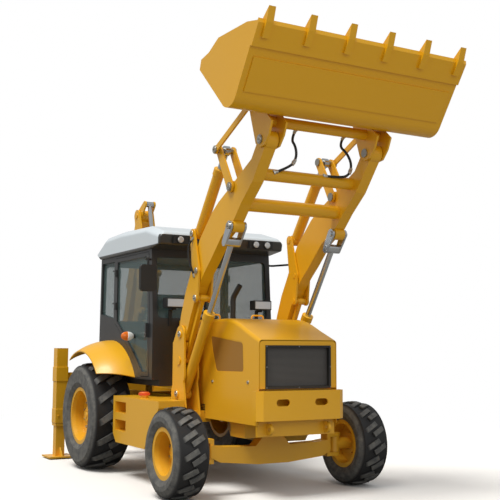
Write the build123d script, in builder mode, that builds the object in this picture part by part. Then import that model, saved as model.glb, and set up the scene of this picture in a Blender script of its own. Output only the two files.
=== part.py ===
from build123d import *
import os
from math import atan2, cos, degrees, hypot, pi, radians, sin, sqrt, tan

os.makedirs("parts", exist_ok=True)

# Millimetres. X points forward, Y to the left and Z up. The origin is on the ground under the
# middle of the machine's length; every other place is told from the rear axle's middle.
REAR_AXLE_X = -1000.0
SIDES = (1, -1)
WHEELBASE = 2516.0

# Gaps: pieces of two bodies keep FREE apart, pins keep PIN_GAP and seats keep SEAT.
FREE = 8.0
PIN_GAP = 0.3
SEAT = 0.3

# Wheels
FRONT_TYRE_R = 440.0
FRONT_TYRE_W = 360.0
FRONT_TRACK = 2091.0
FRONT_RIM_R = 236.0
REAR_TYRE_R = 630.0
REAR_TYRE_W = 490.0
REAR_TRACK = 1896.0
REAR_RIM_R = 322.0
RIM_WALL = 12.0
KINGPIN_Y = 800.0
HUB_R = 118.0

# Chassis
RAIL_Y = 330.0
RAIL_W = 90.0
RAIL_BOTTOM = 740.0
RAIL_TOP = 900.0
RAIL_REAR = -1110.0
RAIL_FRONT = 3000.0
PLATE = 22.0

# Engine covers
COWL_REAR = 1262.0
BONNET_REAR = 1760.0
NOSE_X = 3066.0
HOOD_HALF = 450.0
HOOD_TOP = 1750.0
NOSE_TOP = 1533.0
HOOD_SEAM = 1062.0
SKIRT_BOTTOM = 712.0
SHEET = 6.0
APRON_FRONT = 3140.0
APRON_HALF = 500.0
APRON_TOP = 1042.0
APRON_BOTTOM = 760.0
GRILLE_HALF = 378.0
GRILLE_BOTTOM = 1060.0
GRILLE_TOP = 1478.0

# Cab
CAB_HALF = 770.0
TUB_HALF = 680.0
CAB_REAR = -450.0
CAB_FRONT = 1250.0
CAB_FLOOR = 1020.0
CAB_FRONT_BOTTOM = 1090.0
CAB_EAVES = 2560.0
POST = 60.0
ARCH_R = 860.0
ROOF_TOP = 2850.0
DOOR_REAR = 100.0
DOOR_FRONT = 1160.0
DOOR_TOP = 2535.0
DOOR_T = 34.0
DOOR_HINGE_X = 145.0
HINGE_Y = CAB_HALF + 18.0
DOOR_HINGE_Z = (1900.0, 2300.0)
HINGE_H = 70.0
HINGE_R = 14.0
HINGE_PIN = 7.0
GLASS_T = 6.0
SILL = 1780.0
PANE_CORNER = 50.0

# Fenders: the crown beside the cab and the lower outer lip, both round the rear axle
FENDER_CROWN_R = 902.0
FENDER_LIP_R = 775.0
FENDER_OUTER = 1170.0
FENDER_SHEET = 14.0

# Loader linkage in side view (x from the rear axle, z from the ground)
ARM_Y = 600.0
ARM_W = 120.0
LINK_PLATE = 20.0
PIVOT = (1800.0, 1593.0)
LEVER_PIN = (2175.0, 2245.0)
LINK_PIN = (2155.0, 1963.0)
LEVER_TOP = (2065.0, 2645.0)
GUIDE_PIN = (2890.0, 3020.0)
GUIDE_TOP = (2650.0, 3430.0)
PUSH_PIN = (3332.0, 3732.0)
TIP_PIN = (3484.0, 3375.0)
LIFT_TOP = (2880.0, 2635.0)
LIFT_BASE = (1740.0, 960.0)
TOWER_PIN = (PIVOT[0] + LINK_PIN[0] - LEVER_PIN[0], PIVOT[1] + LINK_PIN[1] - LEVER_PIN[1])
PIN_R = 30.0

# Loader bucket
BUCKET_HALF = 1154.0
BUCKET_LIP = (4240.0, 4190.0)
BUCKET_BEND = (3867.0, 3640.0)
BUCKET_HEEL = (3600.0, 3620.0)
BUCKET_TOP = (3150.0, 4050.0)
BUCKET_PLATE = 14.0
BUCKET_SIDE = 20.0
TOOTH_COUNT = 6
TOOTH_PITCH = 423.6
TOOTH_REACH = 140.0

# Backhoe in side view, folded for the road
HOE_Y = 250.0
POST_X = -1500.0
BOOM_FOOT = (-1720.0, 650.0)
BOOM_TIP = (-1480.0, 3330.0)
BOOM_CYL_BASE = (-1480.0, 1215.0)
BOOM_CYL_TOP = (-1270.0, 1960.0)
DIPPER_CYL_BASE = (-1040.0, 2480.0)
DIPPER_TAIL = (-1290.0, 3480.0)
BUCKET_PIN = (-2040.0, 1500.0)
TIPPER_PIN = (-1985.0, 1790.0)
TIPPER_TOP = (-2200.0, 1760.0)
HOE_LINK_PIN = (-2170.0, 1440.0)
HOE_CYL_BASE = (-1760.0, 2980.0)
BOOM_HALF = 115.0
DIPPER_HALF = 80.0
HOE_BUCKET_HALF = 300.0

# Stabilisers
LEG_X = -1150.0
LEG_Y = 1040.0
LEG_W = 120.0
SLEEVE_WALL = 14.0
SLEEVE_TOP = 1430.0
SLEEVE_BOTTOM = 420.0
PAD_GAP = 15.0


def side(y):
    """Sketch plane that looks along Y: local x is forward of the rear axle, local y is up."""
    return Plane(origin=(REAR_AXLE_X, y, 0), x_dir=(1, 0, 0), z_dir=(0, -1, 0))


def level(z):
    """Sketch plane at one height, with its middle over the rear axle."""
    return Plane(origin=(REAR_AXLE_X, 0, z))


def across(x):
    """Sketch plane that looks backward: local x is to the left, local y is up."""
    return Plane(origin=(REAR_AXLE_X + x, 0, 0), x_dir=(0, 1, 0), z_dir=(1, 0, 0))


def box(x0, x1, y0, y1, z0, z1, mode=Mode.ADD):
    """A straight block between two corners."""
    with BuildSketch(level(z0)) as base:
        with Locations(((x0 + x1) / 2, (y0 + y1) / 2)):
            Rectangle(abs(x1 - x0), abs(y1 - y0))
    extrude(base.sketch, amount=z1 - z0, mode=mode)


def prism(points, y0, y1, mode=Mode.ADD):
    """A flat outline in side view, drawn out from y0 to y1."""
    with BuildSketch(side(max(y0, y1))) as outline:
        with BuildLine():
            Polyline(*points, close=True)
        make_face()
    extrude(outline.sketch, amount=abs(y1 - y0), mode=mode)


def wrap(eyes, y0, y1, mode=Mode.ADD):
    """A plate whose edge wraps round its eyes, each (place, radius), from y0 to y1."""
    with BuildSketch(side(max(y0, y1))) as outline:
        for place, radius in eyes:
            with Locations(place):
                Circle(radius)
        make_hull()
    extrude(outline.sketch, amount=abs(y1 - y0), mode=mode)


def bar_y(place, radius, y0, y1, mode=Mode.ADD):
    """A round bar along Y."""
    with BuildSketch(side(max(y0, y1))) as end:
        with Locations(place):
            Circle(radius)
    extrude(end.sketch, amount=abs(y1 - y0), mode=mode)


def bar_x(y, z, radius, x0, x1, mode=Mode.ADD):
    """A round bar along X."""
    with BuildSketch(across(min(x0, x1))) as end:
        with Locations((y, z)):
            Circle(radius)
    extrude(end.sketch, amount=abs(x1 - x0), mode=mode)


def bar_z(x, y, radius, z0, z1, mode=Mode.ADD):
    """A round bar along Z."""
    with BuildSketch(level(min(z0, z1))) as end:
        with Locations((x, y)):
            Circle(radius)
    extrude(end.sketch, amount=abs(z1 - z0), mode=mode)


def along(start, end, y, s):
    """Plane square to the line from start to end, s millimetres from start."""
    length = hypot(end[0] - start[0], end[1] - start[1])
    dx, dz = (end[0] - start[0]) / length, (end[1] - start[1]) / length
    spot = (REAR_AXLE_X + start[0] + dx * s, y, start[1] + dz * s)
    return Plane(origin=spot, x_dir=(0, 1, 0), z_dir=(dx, 0, dz))


def bar_along(start, end, y, radius, s0, s1, mode=Mode.ADD):
    """A round bar on the line from start to end, between two distances from start."""
    with BuildSketch(along(start, end, y, s0)) as section:
        Circle(radius)
    extrude(section.sketch, amount=s1 - s0, mode=mode)


def span(start, end):
    """Distance between two places in side view."""
    return hypot(end[0] - start[0], end[1] - start[1])


def toward(start, end, s):
    """The place s millimetres from start on the way to end."""
    share = s / span(start, end)
    return (start[0] + (end[0] - start[0]) * share, start[1] + (end[1] - start[1]) * share)


def both(y0, y1, sign):
    """A pair of Y limits, measured out from the middle on one side."""
    return sorted((sign * y0, sign * y1))


# Main frame: two box rails, cross members, the front axle's saddle and lashing lugs
EYE_X = 3075.0
EYE_Z = 676.0
EYE_HOLE = 22.0
EYE_R = 48.0
LUG_T = 30.0
SADDLE_BOTTOM = 560.0
with BuildPart() as main_frame:
    for sign in SIDES:
        y0, y1 = both(RAIL_Y - RAIL_W / 2, RAIL_Y + RAIL_W / 2, sign)
        prism([(RAIL_REAR, RAIL_BOTTOM), (RAIL_FRONT, RAIL_BOTTOM), (RAIL_FRONT, RAIL_TOP),
               (RAIL_REAR, RAIL_TOP)], y0, y1)
    for x in (150, 1050):
        for sign in SIDES:
            bar_z(x, sign * RAIL_Y, 40, RAIL_TOP - 1, CAB_FLOOR - SEAT)
    for x in (-600, 300, 1500, 2350):
        box(x, x + 120, -RAIL_Y, RAIL_Y, RAIL_BOTTOM + 30, RAIL_TOP - 30)
    box(WHEELBASE - 150, WHEELBASE + 150, -RAIL_Y - RAIL_W / 2, RAIL_Y + RAIL_W / 2,
        SADDLE_BOTTOM, RAIL_BOTTOM)
    box(RAIL_FRONT, RAIL_FRONT + 30, -HOOD_HALF + SHEET + SEAT, HOOD_HALF - SHEET - SEAT, EYE_Z - 70, RAIL_TOP)
    for sign in SIDES:
        y0, y1 = both(RAIL_Y - LUG_T / 2, RAIL_Y + LUG_T / 2, sign)
        wrap([((EYE_X, EYE_Z), EYE_R), ((RAIL_FRONT + 60, EYE_Z), EYE_R + 8)], y0, y1)
        bar_y((EYE_X, EYE_Z), EYE_HOLE, y0, y1, mode=Mode.SUBTRACT)
main_frame.part.label = "main_frame"
export_step(main_frame.part, "parts/main_frame.step")

# Axles: the front beam hangs under its saddle and ends in kingpin forks; the rear housing is straight
BEAM_TOP = 470.0
FORK_TOP = 560.0
FORK_BOTTOM = 320.0
FORK_T = 40.0
REAR_AXLE_R = 95.0
with BuildPart() as axles:
    with BuildSketch(across(WHEELBASE - 70)) as beam:
        with BuildLine():
            Polyline((-KINGPIN_Y + 95, 380), (-KINGPIN_Y + 200, 330), (-180, 290), (180, 290),
                     (KINGPIN_Y - 200, 330), (KINGPIN_Y - 95, 380), (KINGPIN_Y - 95, 500),
                     (KINGPIN_Y - 240, 480), (200, BEAM_TOP), (120, SADDLE_BOTTOM - SEAT),
                     (-120, SADDLE_BOTTOM - SEAT), (-200, BEAM_TOP), (-KINGPIN_Y + 240, 480),
                     (-KINGPIN_Y + 95, 500), close=True)
        make_face()
    extrude(beam.sketch, amount=140)
    for sign in SIDES:
        for z in (FORK_BOTTOM, FORK_TOP - FORK_T):
            y0, y1 = both(KINGPIN_Y - 120, KINGPIN_Y, sign)
            box(WHEELBASE - 60, WHEELBASE + 60, y0, y1, z, z + FORK_T)
            bar_z(WHEELBASE, sign * KINGPIN_Y, 60, z, z + FORK_T)
        y0, y1 = both(KINGPIN_Y - 130, KINGPIN_Y - 90, sign)
        box(WHEELBASE - 60, WHEELBASE + 60, y0, y1, FORK_BOTTOM, FORK_TOP)
        bar_z(WHEELBASE, sign * KINGPIN_Y, 28, FORK_BOTTOM, FORK_TOP)
    bar_y((0, REAR_TYRE_R), REAR_AXLE_R, -REAR_TRACK / 2 + 160, REAR_TRACK / 2 - 160)
    for sign in SIDES:
        y0, y1 = both(REAR_TRACK / 2 - 180, REAR_TRACK / 2 - 150, sign)
        bar_y((0, REAR_TYRE_R), 150, y0, y1)
        y0, y1 = both(REAR_TRACK / 2 - 150, REAR_TRACK / 2 + 52, sign)
        bar_y((0, REAR_TYRE_R), 60, y0, y1)
        y0, y1 = both(REAR_TRACK / 2, REAR_TRACK / 2 + 112, sign)
        bar_y((0, REAR_TYRE_R), 45 - PIN_GAP, y0, y1)
    bar_y((0, REAR_TYRE_R), 210, -190, 190)
    for sign in SIDES:
        y0, y1 = both(RAIL_Y - RAIL_W / 2, RAIL_Y + RAIL_W / 2, sign)
        box(-110, 110, y0, y1, REAR_TYRE_R, RAIL_BOTTOM - SEAT)
axles.part.label = "axles"
export_step(axles.part, "parts/axles.step")

# Loader towers: two plates a side on a foot that reaches out from the frame, closed at the back
TOWER_IN = ARM_Y - ARM_W / 2 - FREE - LINK_PLATE
TOWER_OUT = ARM_Y + ARM_W / 2 + FREE + LINK_PLATE
TOWER_REAR = 1620.0
with BuildPart() as loader_towers:
    for sign in SIDES:
        for y_in, y_out in ((TOWER_IN, TOWER_IN + LINK_PLATE), (TOWER_OUT - LINK_PLATE, TOWER_OUT)):
            y0, y1 = both(y_in, y_out, sign)
            wrap([(PIVOT, 92), ((TOWER_REAR + 40, 700), 40), ((TOWER_REAR + 40, 1480), 40),
                  ((1850, 1150), 60)], y0, y1)
            wrap([(LIFT_BASE, 150), ((1830, 1120), 50), ((TOWER_REAR + 40, 700), 40),
                  ((1900, 740), 60)], y0, y1)
        y0, y1 = both(TOWER_IN, TOWER_OUT, sign)
        box(TOWER_REAR, TOWER_REAR + 24, y0, y1, 662, 1510)
        y0, y1 = both(RAIL_Y + RAIL_W / 2, TOWER_OUT, sign)
        box(TOWER_REAR, 1930, y0, y1, 672, 790)
        for place in (PIVOT, TOWER_PIN, LIFT_BASE):
            y0, y1 = both(TOWER_IN - 6, TOWER_OUT + 6, sign)
            bar_y(place, PIN_R, y0, y1)
            y0, y1 = both(TOWER_OUT, TOWER_OUT + 12, sign)
            bar_y(place, PIN_R + 14, y0, y1)
loader_towers.part.label = "loader_towers"
export_step(loader_towers.part, "parts/loader_towers.step")

# Cowl: low side skirts, the upright in front of the cab, the grille's surround and the front apron
SLOT_Y = 220.0
SLOT_Z = 930.0
SLOT_W = 150.0
SLOT_H = 66.0
NOSE_DEPTH = 60.0
HOOP_X = 1700.0
HOOP_Y = (-235.0, 320.0)
HOOP_HALF = 75.0
HOOP_H = 62.0
HOOP_R = 9.0
with BuildPart() as cowl:
    for sign in SIDES:
        y0, y1 = both(HOOD_HALF - SHEET, HOOD_HALF, sign)
        prism([(COWL_REAR, SKIRT_BOTTOM), (NOSE_X, SKIRT_BOTTOM), (NOSE_X, HOOD_SEAM - SEAT),
               (BONNET_REAR - 3, HOOD_SEAM - SEAT), (BONNET_REAR - 3, HOOD_TOP - SHEET),
               (COWL_REAR, HOOD_TOP - SHEET)], y0, y1)
    box(COWL_REAR, BONNET_REAR - 3, -HOOD_HALF, HOOD_HALF, HOOD_TOP - SHEET, HOOD_TOP)
    box(COWL_REAR, COWL_REAR + SHEET, -HOOD_HALF, HOOD_HALF, RAIL_TOP + 60, HOOD_TOP)
    box(COWL_REAR, COWL_REAR + 60, -HOOD_HALF, HOOD_HALF, RAIL_TOP, RAIL_TOP + 60)
    box(NOSE_X - NOSE_DEPTH, NOSE_X - NOSE_DEPTH + 10, -HOOD_HALF, HOOD_HALF, RAIL_TOP, HOOD_SEAM - SEAT)
    inner = HOOD_HALF - SHEET - 4
    with BuildSketch(across(NOSE_X - NOSE_DEPTH)) as surround:
        with BuildLine():
            Polyline((-inner, HOOD_SEAM - SEAT), (-inner, NOSE_TOP - SHEET - 6), (inner, NOSE_TOP - SHEET - 6),
                     (inner, HOOD_SEAM - SEAT), close=True)
        make_face()
        fillet(surround.vertices().group_by(Axis.Y)[-1], 36)
    extrude(surround.sketch, amount=NOSE_DEPTH)
    box(NOSE_X - NOSE_DEPTH - 1, NOSE_X + 1, -GRILLE_HALF, GRILLE_HALF, GRILLE_BOTTOM, GRILLE_TOP,
        mode=Mode.SUBTRACT)
    with BuildSketch(level(APRON_BOTTOM)) as apron:
        with BuildLine():
            Polyline((RAIL_FRONT + 30 + SEAT, -APRON_HALF), (APRON_FRONT - 40, -APRON_HALF),
                     (APRON_FRONT, -APRON_HALF + 60), (APRON_FRONT, APRON_HALF - 60),
                     (APRON_FRONT - 40, APRON_HALF), (RAIL_FRONT + 30 + SEAT, APRON_HALF),
                     (RAIL_FRONT + 30 + SEAT, APRON_HALF - 14), (APRON_FRONT - 46, APRON_HALF - 14),
                     (APRON_FRONT - 14, APRON_HALF - 64), (APRON_FRONT - 14, -APRON_HALF + 64),
                     (APRON_FRONT - 46, -APRON_HALF + 14), (RAIL_FRONT + 30 + SEAT, -APRON_HALF + 14),
                     close=True)
        make_face()
    extrude(apron.sketch, amount=APRON_TOP - APRON_BOTTOM)
    box(NOSE_X - NOSE_DEPTH, APRON_FRONT - 14, -HOOD_HALF, HOOD_HALF, APRON_TOP - 14, APRON_TOP)
    box(NOSE_X - 3, APRON_FRONT - 10, -HOOD_HALF + 4, HOOD_HALF - 4, HOOD_SEAM - 20, HOOD_SEAM - SEAT,
        mode=Mode.SUBTRACT)
    with BuildSketch(across(APRON_FRONT - 60)) as slots:
        with Locations((-SLOT_Y, SLOT_Z), (SLOT_Y, SLOT_Z)):
            SlotOverall(SLOT_W, SLOT_H)
    extrude(slots.sketch, amount=100, mode=Mode.SUBTRACT)
    for sign in SIDES:
        y0, y1 = both(HOOD_HALF - SHEET, APRON_HALF, sign)
        box(NOSE_X - 30, NOSE_X - 10, y0, y1, APRON_BOTTOM, APRON_TOP)
        y0, y1 = both(RAIL_Y + RAIL_W / 2 + SEAT, HOOD_HALF - SHEET, sign)
        for x in (1300, 2000, 2700):
            box(x, x + 50, y0, y1, RAIL_BOTTOM + 20, RAIL_TOP - 20)
    box(TOWER_REAR - 5, 1935, -APRON_HALF, APRON_HALF, SKIRT_BOTTOM - 1, 795, mode=Mode.SUBTRACT)
    for y in HOOP_Y:
        with BuildLine() as hoop:
            FilletPolyline((REAR_AXLE_X + HOOP_X, y - HOOP_HALF, HOOD_TOP - 2),
                           (REAR_AXLE_X + HOOP_X, y - HOOP_HALF, HOOD_TOP + HOOP_H),
                           (REAR_AXLE_X + HOOP_X, y + HOOP_HALF, HOOD_TOP + HOOP_H),
                           (REAR_AXLE_X + HOOP_X, y + HOOP_HALF, HOOD_TOP - 2), radius=26)
        with BuildSketch(Plane(origin=hoop.line @ 0, z_dir=hoop.line % 0)) as rod:
            Circle(HOOP_R)
        sweep(rod.sketch, path=hoop.line)
cowl.part.label = "cowl"
export_step(cowl.part, "parts/cowl.step")

# Grille: a flat perforated screen in a raised border
SCREEN_BORDER = 22.0
SCREEN_T = 6.0
HOLE_PITCH = 46.0
HOLE_R = 15.0
with BuildPart() as grille:
    for x0, x1, inset, mode in ((NOSE_X - 40, NOSE_X + 8, SEAT, Mode.ADD),
                                (NOSE_X - 40 + SCREEN_T, NOSE_X + 9, SCREEN_BORDER, Mode.SUBTRACT)):
        box(x0, x1, -GRILLE_HALF + inset, GRILLE_HALF - inset, GRILLE_BOTTOM + inset, GRILLE_TOP - inset, mode)
    across_count = int((2 * GRILLE_HALF - 2 * SCREEN_BORDER) / HOLE_PITCH)
    up_count = int((GRILLE_TOP - GRILLE_BOTTOM - 2 * SCREEN_BORDER) / HOLE_PITCH)
    with BuildSketch(across(NOSE_X - 41)) as holes:
        with Locations((0, (GRILLE_TOP + GRILLE_BOTTOM) / 2)):
            with GridLocations(HOLE_PITCH, HOLE_PITCH, across_count, up_count):
                Circle(HOLE_R)
            with GridLocations(HOLE_PITCH, HOLE_PITCH, across_count - 1, up_count - 1):
                Circle(HOLE_R * 0.45)
    extrude(holes.sketch, amount=SCREEN_T + 2, mode=Mode.SUBTRACT)
grille.part.label = "grille"
export_step(grille.part, "parts/grille.step")

# Bonnet: top, sides with a rounded panel recess each, and a nose that slopes to the grille
CREST_X = 2400.0
RECESS = 3.0
def bonnet_form(half, drop, run_out, edge):
    """The bonnet's outer form, or with drop and run_out the room under it."""
    with BuildPart() as form:
        rear, front, low = BONNET_REAR - run_out, NOSE_X + run_out, HOOD_SEAM - run_out
        slope_end = NOSE_TOP - drop - run_out * 0.4
        with BuildSketch(side(half)) as profile:
            with BuildLine():
                Line((rear, low), (front, low))
                Line((front, low), (front, slope_end))
                Spline((front, slope_end), (2800, 1635 - drop), (CREST_X, HOOD_TOP - drop),
                       tangents=[(-1, 0.4), (-1, 0.05)])
                Line((CREST_X, HOOD_TOP - drop), (rear, HOOD_TOP - drop))
                Line((rear, HOOD_TOP - drop), (rear, low))
            make_face()
        extrude(profile.sketch, amount=2 * half)
        fillet(form.edges().filter_by(lambda e: abs(abs(e.center().Y) - half) < 1
                                      and e.center().Z > NOSE_TOP + 20), edge)
    return form.part


with BuildPart() as bonnet:
    add(bonnet_form(HOOD_HALF, 0, 0, 36))
    add(bonnet_form(HOOD_HALF - SHEET, SHEET, 10, 30), mode=Mode.SUBTRACT)
    for y in (HOOD_HALF + 1, -HOOD_HALF + RECESS):
        with BuildSketch(side(y)) as recess:
            with BuildLine():
                Polyline((2056, 1583), (2752, 1509), (2767, 1211), (2189, 1205), (2094, 1426), close=True)
            make_face()
            fillet(recess.vertices(), 34)
        extrude(recess.sketch, amount=RECESS + 1, mode=Mode.SUBTRACT)
bonnet.part.label = "bonnet"
export_step(bonnet.part, "parts/bonnet.step")

# Engine: one block with its sump, seated on the rails
with BuildPart() as engine_block:
    box(1950, 2880, -290, 290, RAIL_TOP + 60, 1440)
    for x in (2000, 2700):
        box(x, x + 120, -RAIL_Y, RAIL_Y, RAIL_TOP, RAIL_TOP + 60)
    fillet(engine_block.edges().filter_by(Axis.X).group_by(Axis.Z)[-1], 20)
engine_block.part.label = "engine_block"
export_step(engine_block.part, "parts/engine_block.step")

# Exhaust: a stack through the bonnet's rear cowl with a bend at its mouth
STACK_X = 1600.0
STACK_Y = 60.0
STACK_R = 31.0
STACK_TOP = 2010.0
with BuildPart() as exhaust:
    with BuildLine() as stack:
        FilletPolyline((REAR_AXLE_X + STACK_X, STACK_Y, HOOD_TOP + SEAT),
                       (REAR_AXLE_X + STACK_X, STACK_Y, STACK_TOP),
                       (REAR_AXLE_X + STACK_X + 90, STACK_Y + 40, STACK_TOP + 140), radius=110)
    with BuildSketch(Plane(origin=stack.line @ 0, z_dir=stack.line % 0)) as bore:
        Circle(STACK_R)
        Circle(STACK_R - 3, mode=Mode.SUBTRACT)
    sweep(bore.sketch, path=stack.line)
    bar_z(STACK_X, STACK_Y, STACK_R + 16, HOOD_TOP + SEAT, HOOD_TOP + 12)
exhaust.part.label = "exhaust"
export_step(exhaust.part, "parts/exhaust.step")

# Side tanks: a fuel tank on the right and a tool box on the left, sloped at the front for the wheel
TANK_IN = 470.0
TANK_OUT = 1010.0
TANK_TOP = 900.0
TANK_BOTTOM = 385.0
TANK_REAR = 720.0
CAP_X = 1330.0
TANK_STEP = 150.0
with BuildPart() as side_tanks:
    for sign in SIDES:
        y0, y1 = both(TANK_IN, TANK_OUT, sign)
        with BuildSketch(side(y1)) as shell:
            with BuildLine():
                Polyline((TANK_REAR, 480), (TANK_REAR, TANK_TOP), (1990, TANK_TOP), (1990, 830),
                         (1630, TANK_BOTTOM), (TANK_REAR + 90, TANK_BOTTOM), close=True)
            make_face()
        extrude(shell.sketch, amount=y1 - y0)
        y0, y1 = both(TANK_IN - 1, TOWER_OUT + 30, sign)
        box(TOWER_REAR - 40, 2000, y0, y1, TANK_BOTTOM - 1, TANK_TOP + 1, mode=Mode.SUBTRACT)
        y0, y1 = both(TANK_OUT - TANK_STEP, TANK_OUT + 1, sign)
        for z in (520, 720):
            box(TANK_REAR + 60, TANK_REAR + 380, y0, y1, z, z + 120, mode=Mode.SUBTRACT)
        y0, y1 = both(RAIL_Y + RAIL_W / 2 + SEAT, TANK_IN, sign)
        for x in (820, 1180):
            box(x, x + 60, y0, y1, RAIL_BOTTOM + 10, RAIL_TOP - 10)
    bar_z(CAP_X, -TANK_OUT + 120, 46, TANK_TOP, TANK_TOP + 26)
    bar_z(CAP_X, -TANK_OUT + 120, 56, TANK_TOP + 26, TANK_TOP + 60)
side_tanks.part.label = "side_tanks"
export_step(side_tanks.part, "parts/side_tanks.step")

# Rear fenders: each lofted from the high crown beside the cab down to the outer lip
def fender_section(y, radius, front, rear):
    """One thin curved strip of a fender, drawn in side view."""
    with BuildSketch(side(y)) as strip:
        with BuildLine():
            top = [(radius * cos(radians(a)), REAR_TYRE_R + radius * sin(radians(a)))
                   for a in (front, (2 * front + rear) / 3, (front + 2 * rear) / 3, rear)]
            inner = radius - FENDER_SHEET
            under = [(inner * cos(radians(a)), REAR_TYRE_R + inner * sin(radians(a)))
                     for a in (rear, (2 * rear + front) / 3, (rear + 2 * front) / 3, front)]
            outer_curve = Spline(*top)
            Line(outer_curve @ 1, under[0])
            inner_curve = Spline(*under)
            Line(inner_curve @ 1, top[0])
        make_face()
    return strip.sketch


with BuildPart() as rear_fenders:
    for sign in SIDES:
        sections = [fender_section(sign * (CAB_HALF + SEAT), FENDER_CROWN_R, 32, 122),
                    fender_section(sign * (CAB_HALF + 190), FENDER_CROWN_R - 28, 36, 122),
                    fender_section(sign * FENDER_OUTER, FENDER_LIP_R, 42, 122)]
        loft(sections)
rear_fenders.part.label = "rear_fenders"
export_step(rear_fenders.part, "parts/rear_fenders.step")

# Cab: side walls with door openings over an arched tub, front and rear window frames
def cab_outline(inset):
    """The cab's side outline above the fender arch, drawn in by inset."""
    low_x = ARCH_R * cos(radians(33)) + inset
    low_z = REAR_TYRE_R + ARCH_R * sin(radians(33))
    rear_x = CAB_REAR + inset
    rear_z = REAR_TYRE_R + (ARCH_R ** 2 - rear_x ** 2) ** 0.5 + inset
    return low_x, low_z, rear_x, rear_z


DOOR_CURVE = [(DOOR_REAR, 1730), (610, 1385), (940, 1120)]
with BuildPart() as cab_frame:
    low_x, low_z, rear_x, rear_z = cab_outline(0)
    with BuildSketch(side(CAB_HALF)) as wall:
        with BuildLine():
            Polyline((rear_x, rear_z), (CAB_REAR + 30, CAB_EAVES), (CAB_FRONT - 60, CAB_EAVES),
                     (CAB_FRONT, SILL), (CAB_FRONT, CAB_FRONT_BOTTOM), (low_x, CAB_FRONT_BOTTOM),
                     (low_x, low_z))
            ThreePointArc((low_x, low_z), (0, REAR_TYRE_R + ARCH_R), (rear_x, rear_z))
        make_face()
    extrude(wall.sketch, amount=2 * CAB_HALF)
    box(CAB_REAR, CAB_FRONT, -TUB_HALF, TUB_HALF, CAB_FLOOR, REAR_TYRE_R + ARCH_R)
    with BuildSketch(side(CAB_HALF - POST)) as room:
        with BuildLine():
            Polyline((rear_x + POST, REAR_TYRE_R + ARCH_R + 12), (CAB_REAR + 30 + POST, CAB_EAVES - 20),
                     (CAB_FRONT - 60 - POST, CAB_EAVES - 20), (CAB_FRONT - POST, SILL),
                     (CAB_FRONT - POST, CAB_FRONT_BOTTOM + 12), (low_x + 12, CAB_FRONT_BOTTOM + 12),
                     (low_x + 12, low_z))
            ThreePointArc((low_x + 12, low_z), (420, REAR_TYRE_R + 790), (0, REAR_TYRE_R + ARCH_R + 12))
            Line((0, REAR_TYRE_R + ARCH_R + 12), (rear_x + POST, REAR_TYRE_R + ARCH_R + 12))
        make_face()
    extrude(room.sketch, amount=2 * (CAB_HALF - POST), mode=Mode.SUBTRACT)
    box(CAB_REAR + 20, CAB_FRONT - 20, -TUB_HALF + 20, TUB_HALF - 20, CAB_FLOOR + 20,
        REAR_TYRE_R + ARCH_R + 40, mode=Mode.SUBTRACT)
    with BuildSketch(side(CAB_HALF + 1)) as doorway:
        with BuildLine():
            Polyline((DOOR_REAR, DOOR_CURVE[0][1]), (DOOR_REAR, DOOR_TOP), (DOOR_FRONT - 40, DOOR_TOP),
                     (DOOR_FRONT, SILL), (DOOR_FRONT, 1120), DOOR_CURVE[2])
            ThreePointArc(*DOOR_CURVE[::-1])
        make_face()
    extrude(doorway.sketch, amount=2 * CAB_HALF + 2, mode=Mode.SUBTRACT)
    with BuildSketch(side(CAB_HALF + 1)) as quarter:
        with BuildLine():
            Polyline((CAB_REAR + 55, 1860), (CAB_REAR + 75, 2500), (DOOR_REAR - POST, 2500),
                     (DOOR_REAR - POST, 1790), close=True)
        make_face()
    extrude(quarter.sketch, amount=2 * CAB_HALF + 2, mode=Mode.SUBTRACT)
    with BuildSketch(across(CAB_REAR - 20)) as openings:
        with Locations((0, (SILL + 2470) / 2)):
            RectangleRounded(2 * (CAB_HALF - POST), 2470 - SILL, PANE_CORNER)
    extrude(openings.sketch, amount=CAB_FRONT - CAB_REAR + 60, mode=Mode.SUBTRACT)
    for sign in SIDES:
        for z in DOOR_HINGE_Z:
            top = z + HINGE_H + 1
            box(DOOR_REAR - 46, DOOR_REAR - 4, *both(CAB_HALF - 4, HINGE_Y + 8, sign), top, top + 18)
            box(DOOR_REAR - 46, DOOR_HINGE_X, *both(HINGE_Y - 8, HINGE_Y + 8, sign), top, top + 18)
            bar_z(DOOR_HINGE_X, sign * HINGE_Y, HINGE_R, top, top + 18)
            bar_z(DOOR_HINGE_X, sign * HINGE_Y, HINGE_PIN, z, top)
cab_frame.part.label = "cab_frame"
export_step(cab_frame.part, "parts/cab_frame.step")

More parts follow.
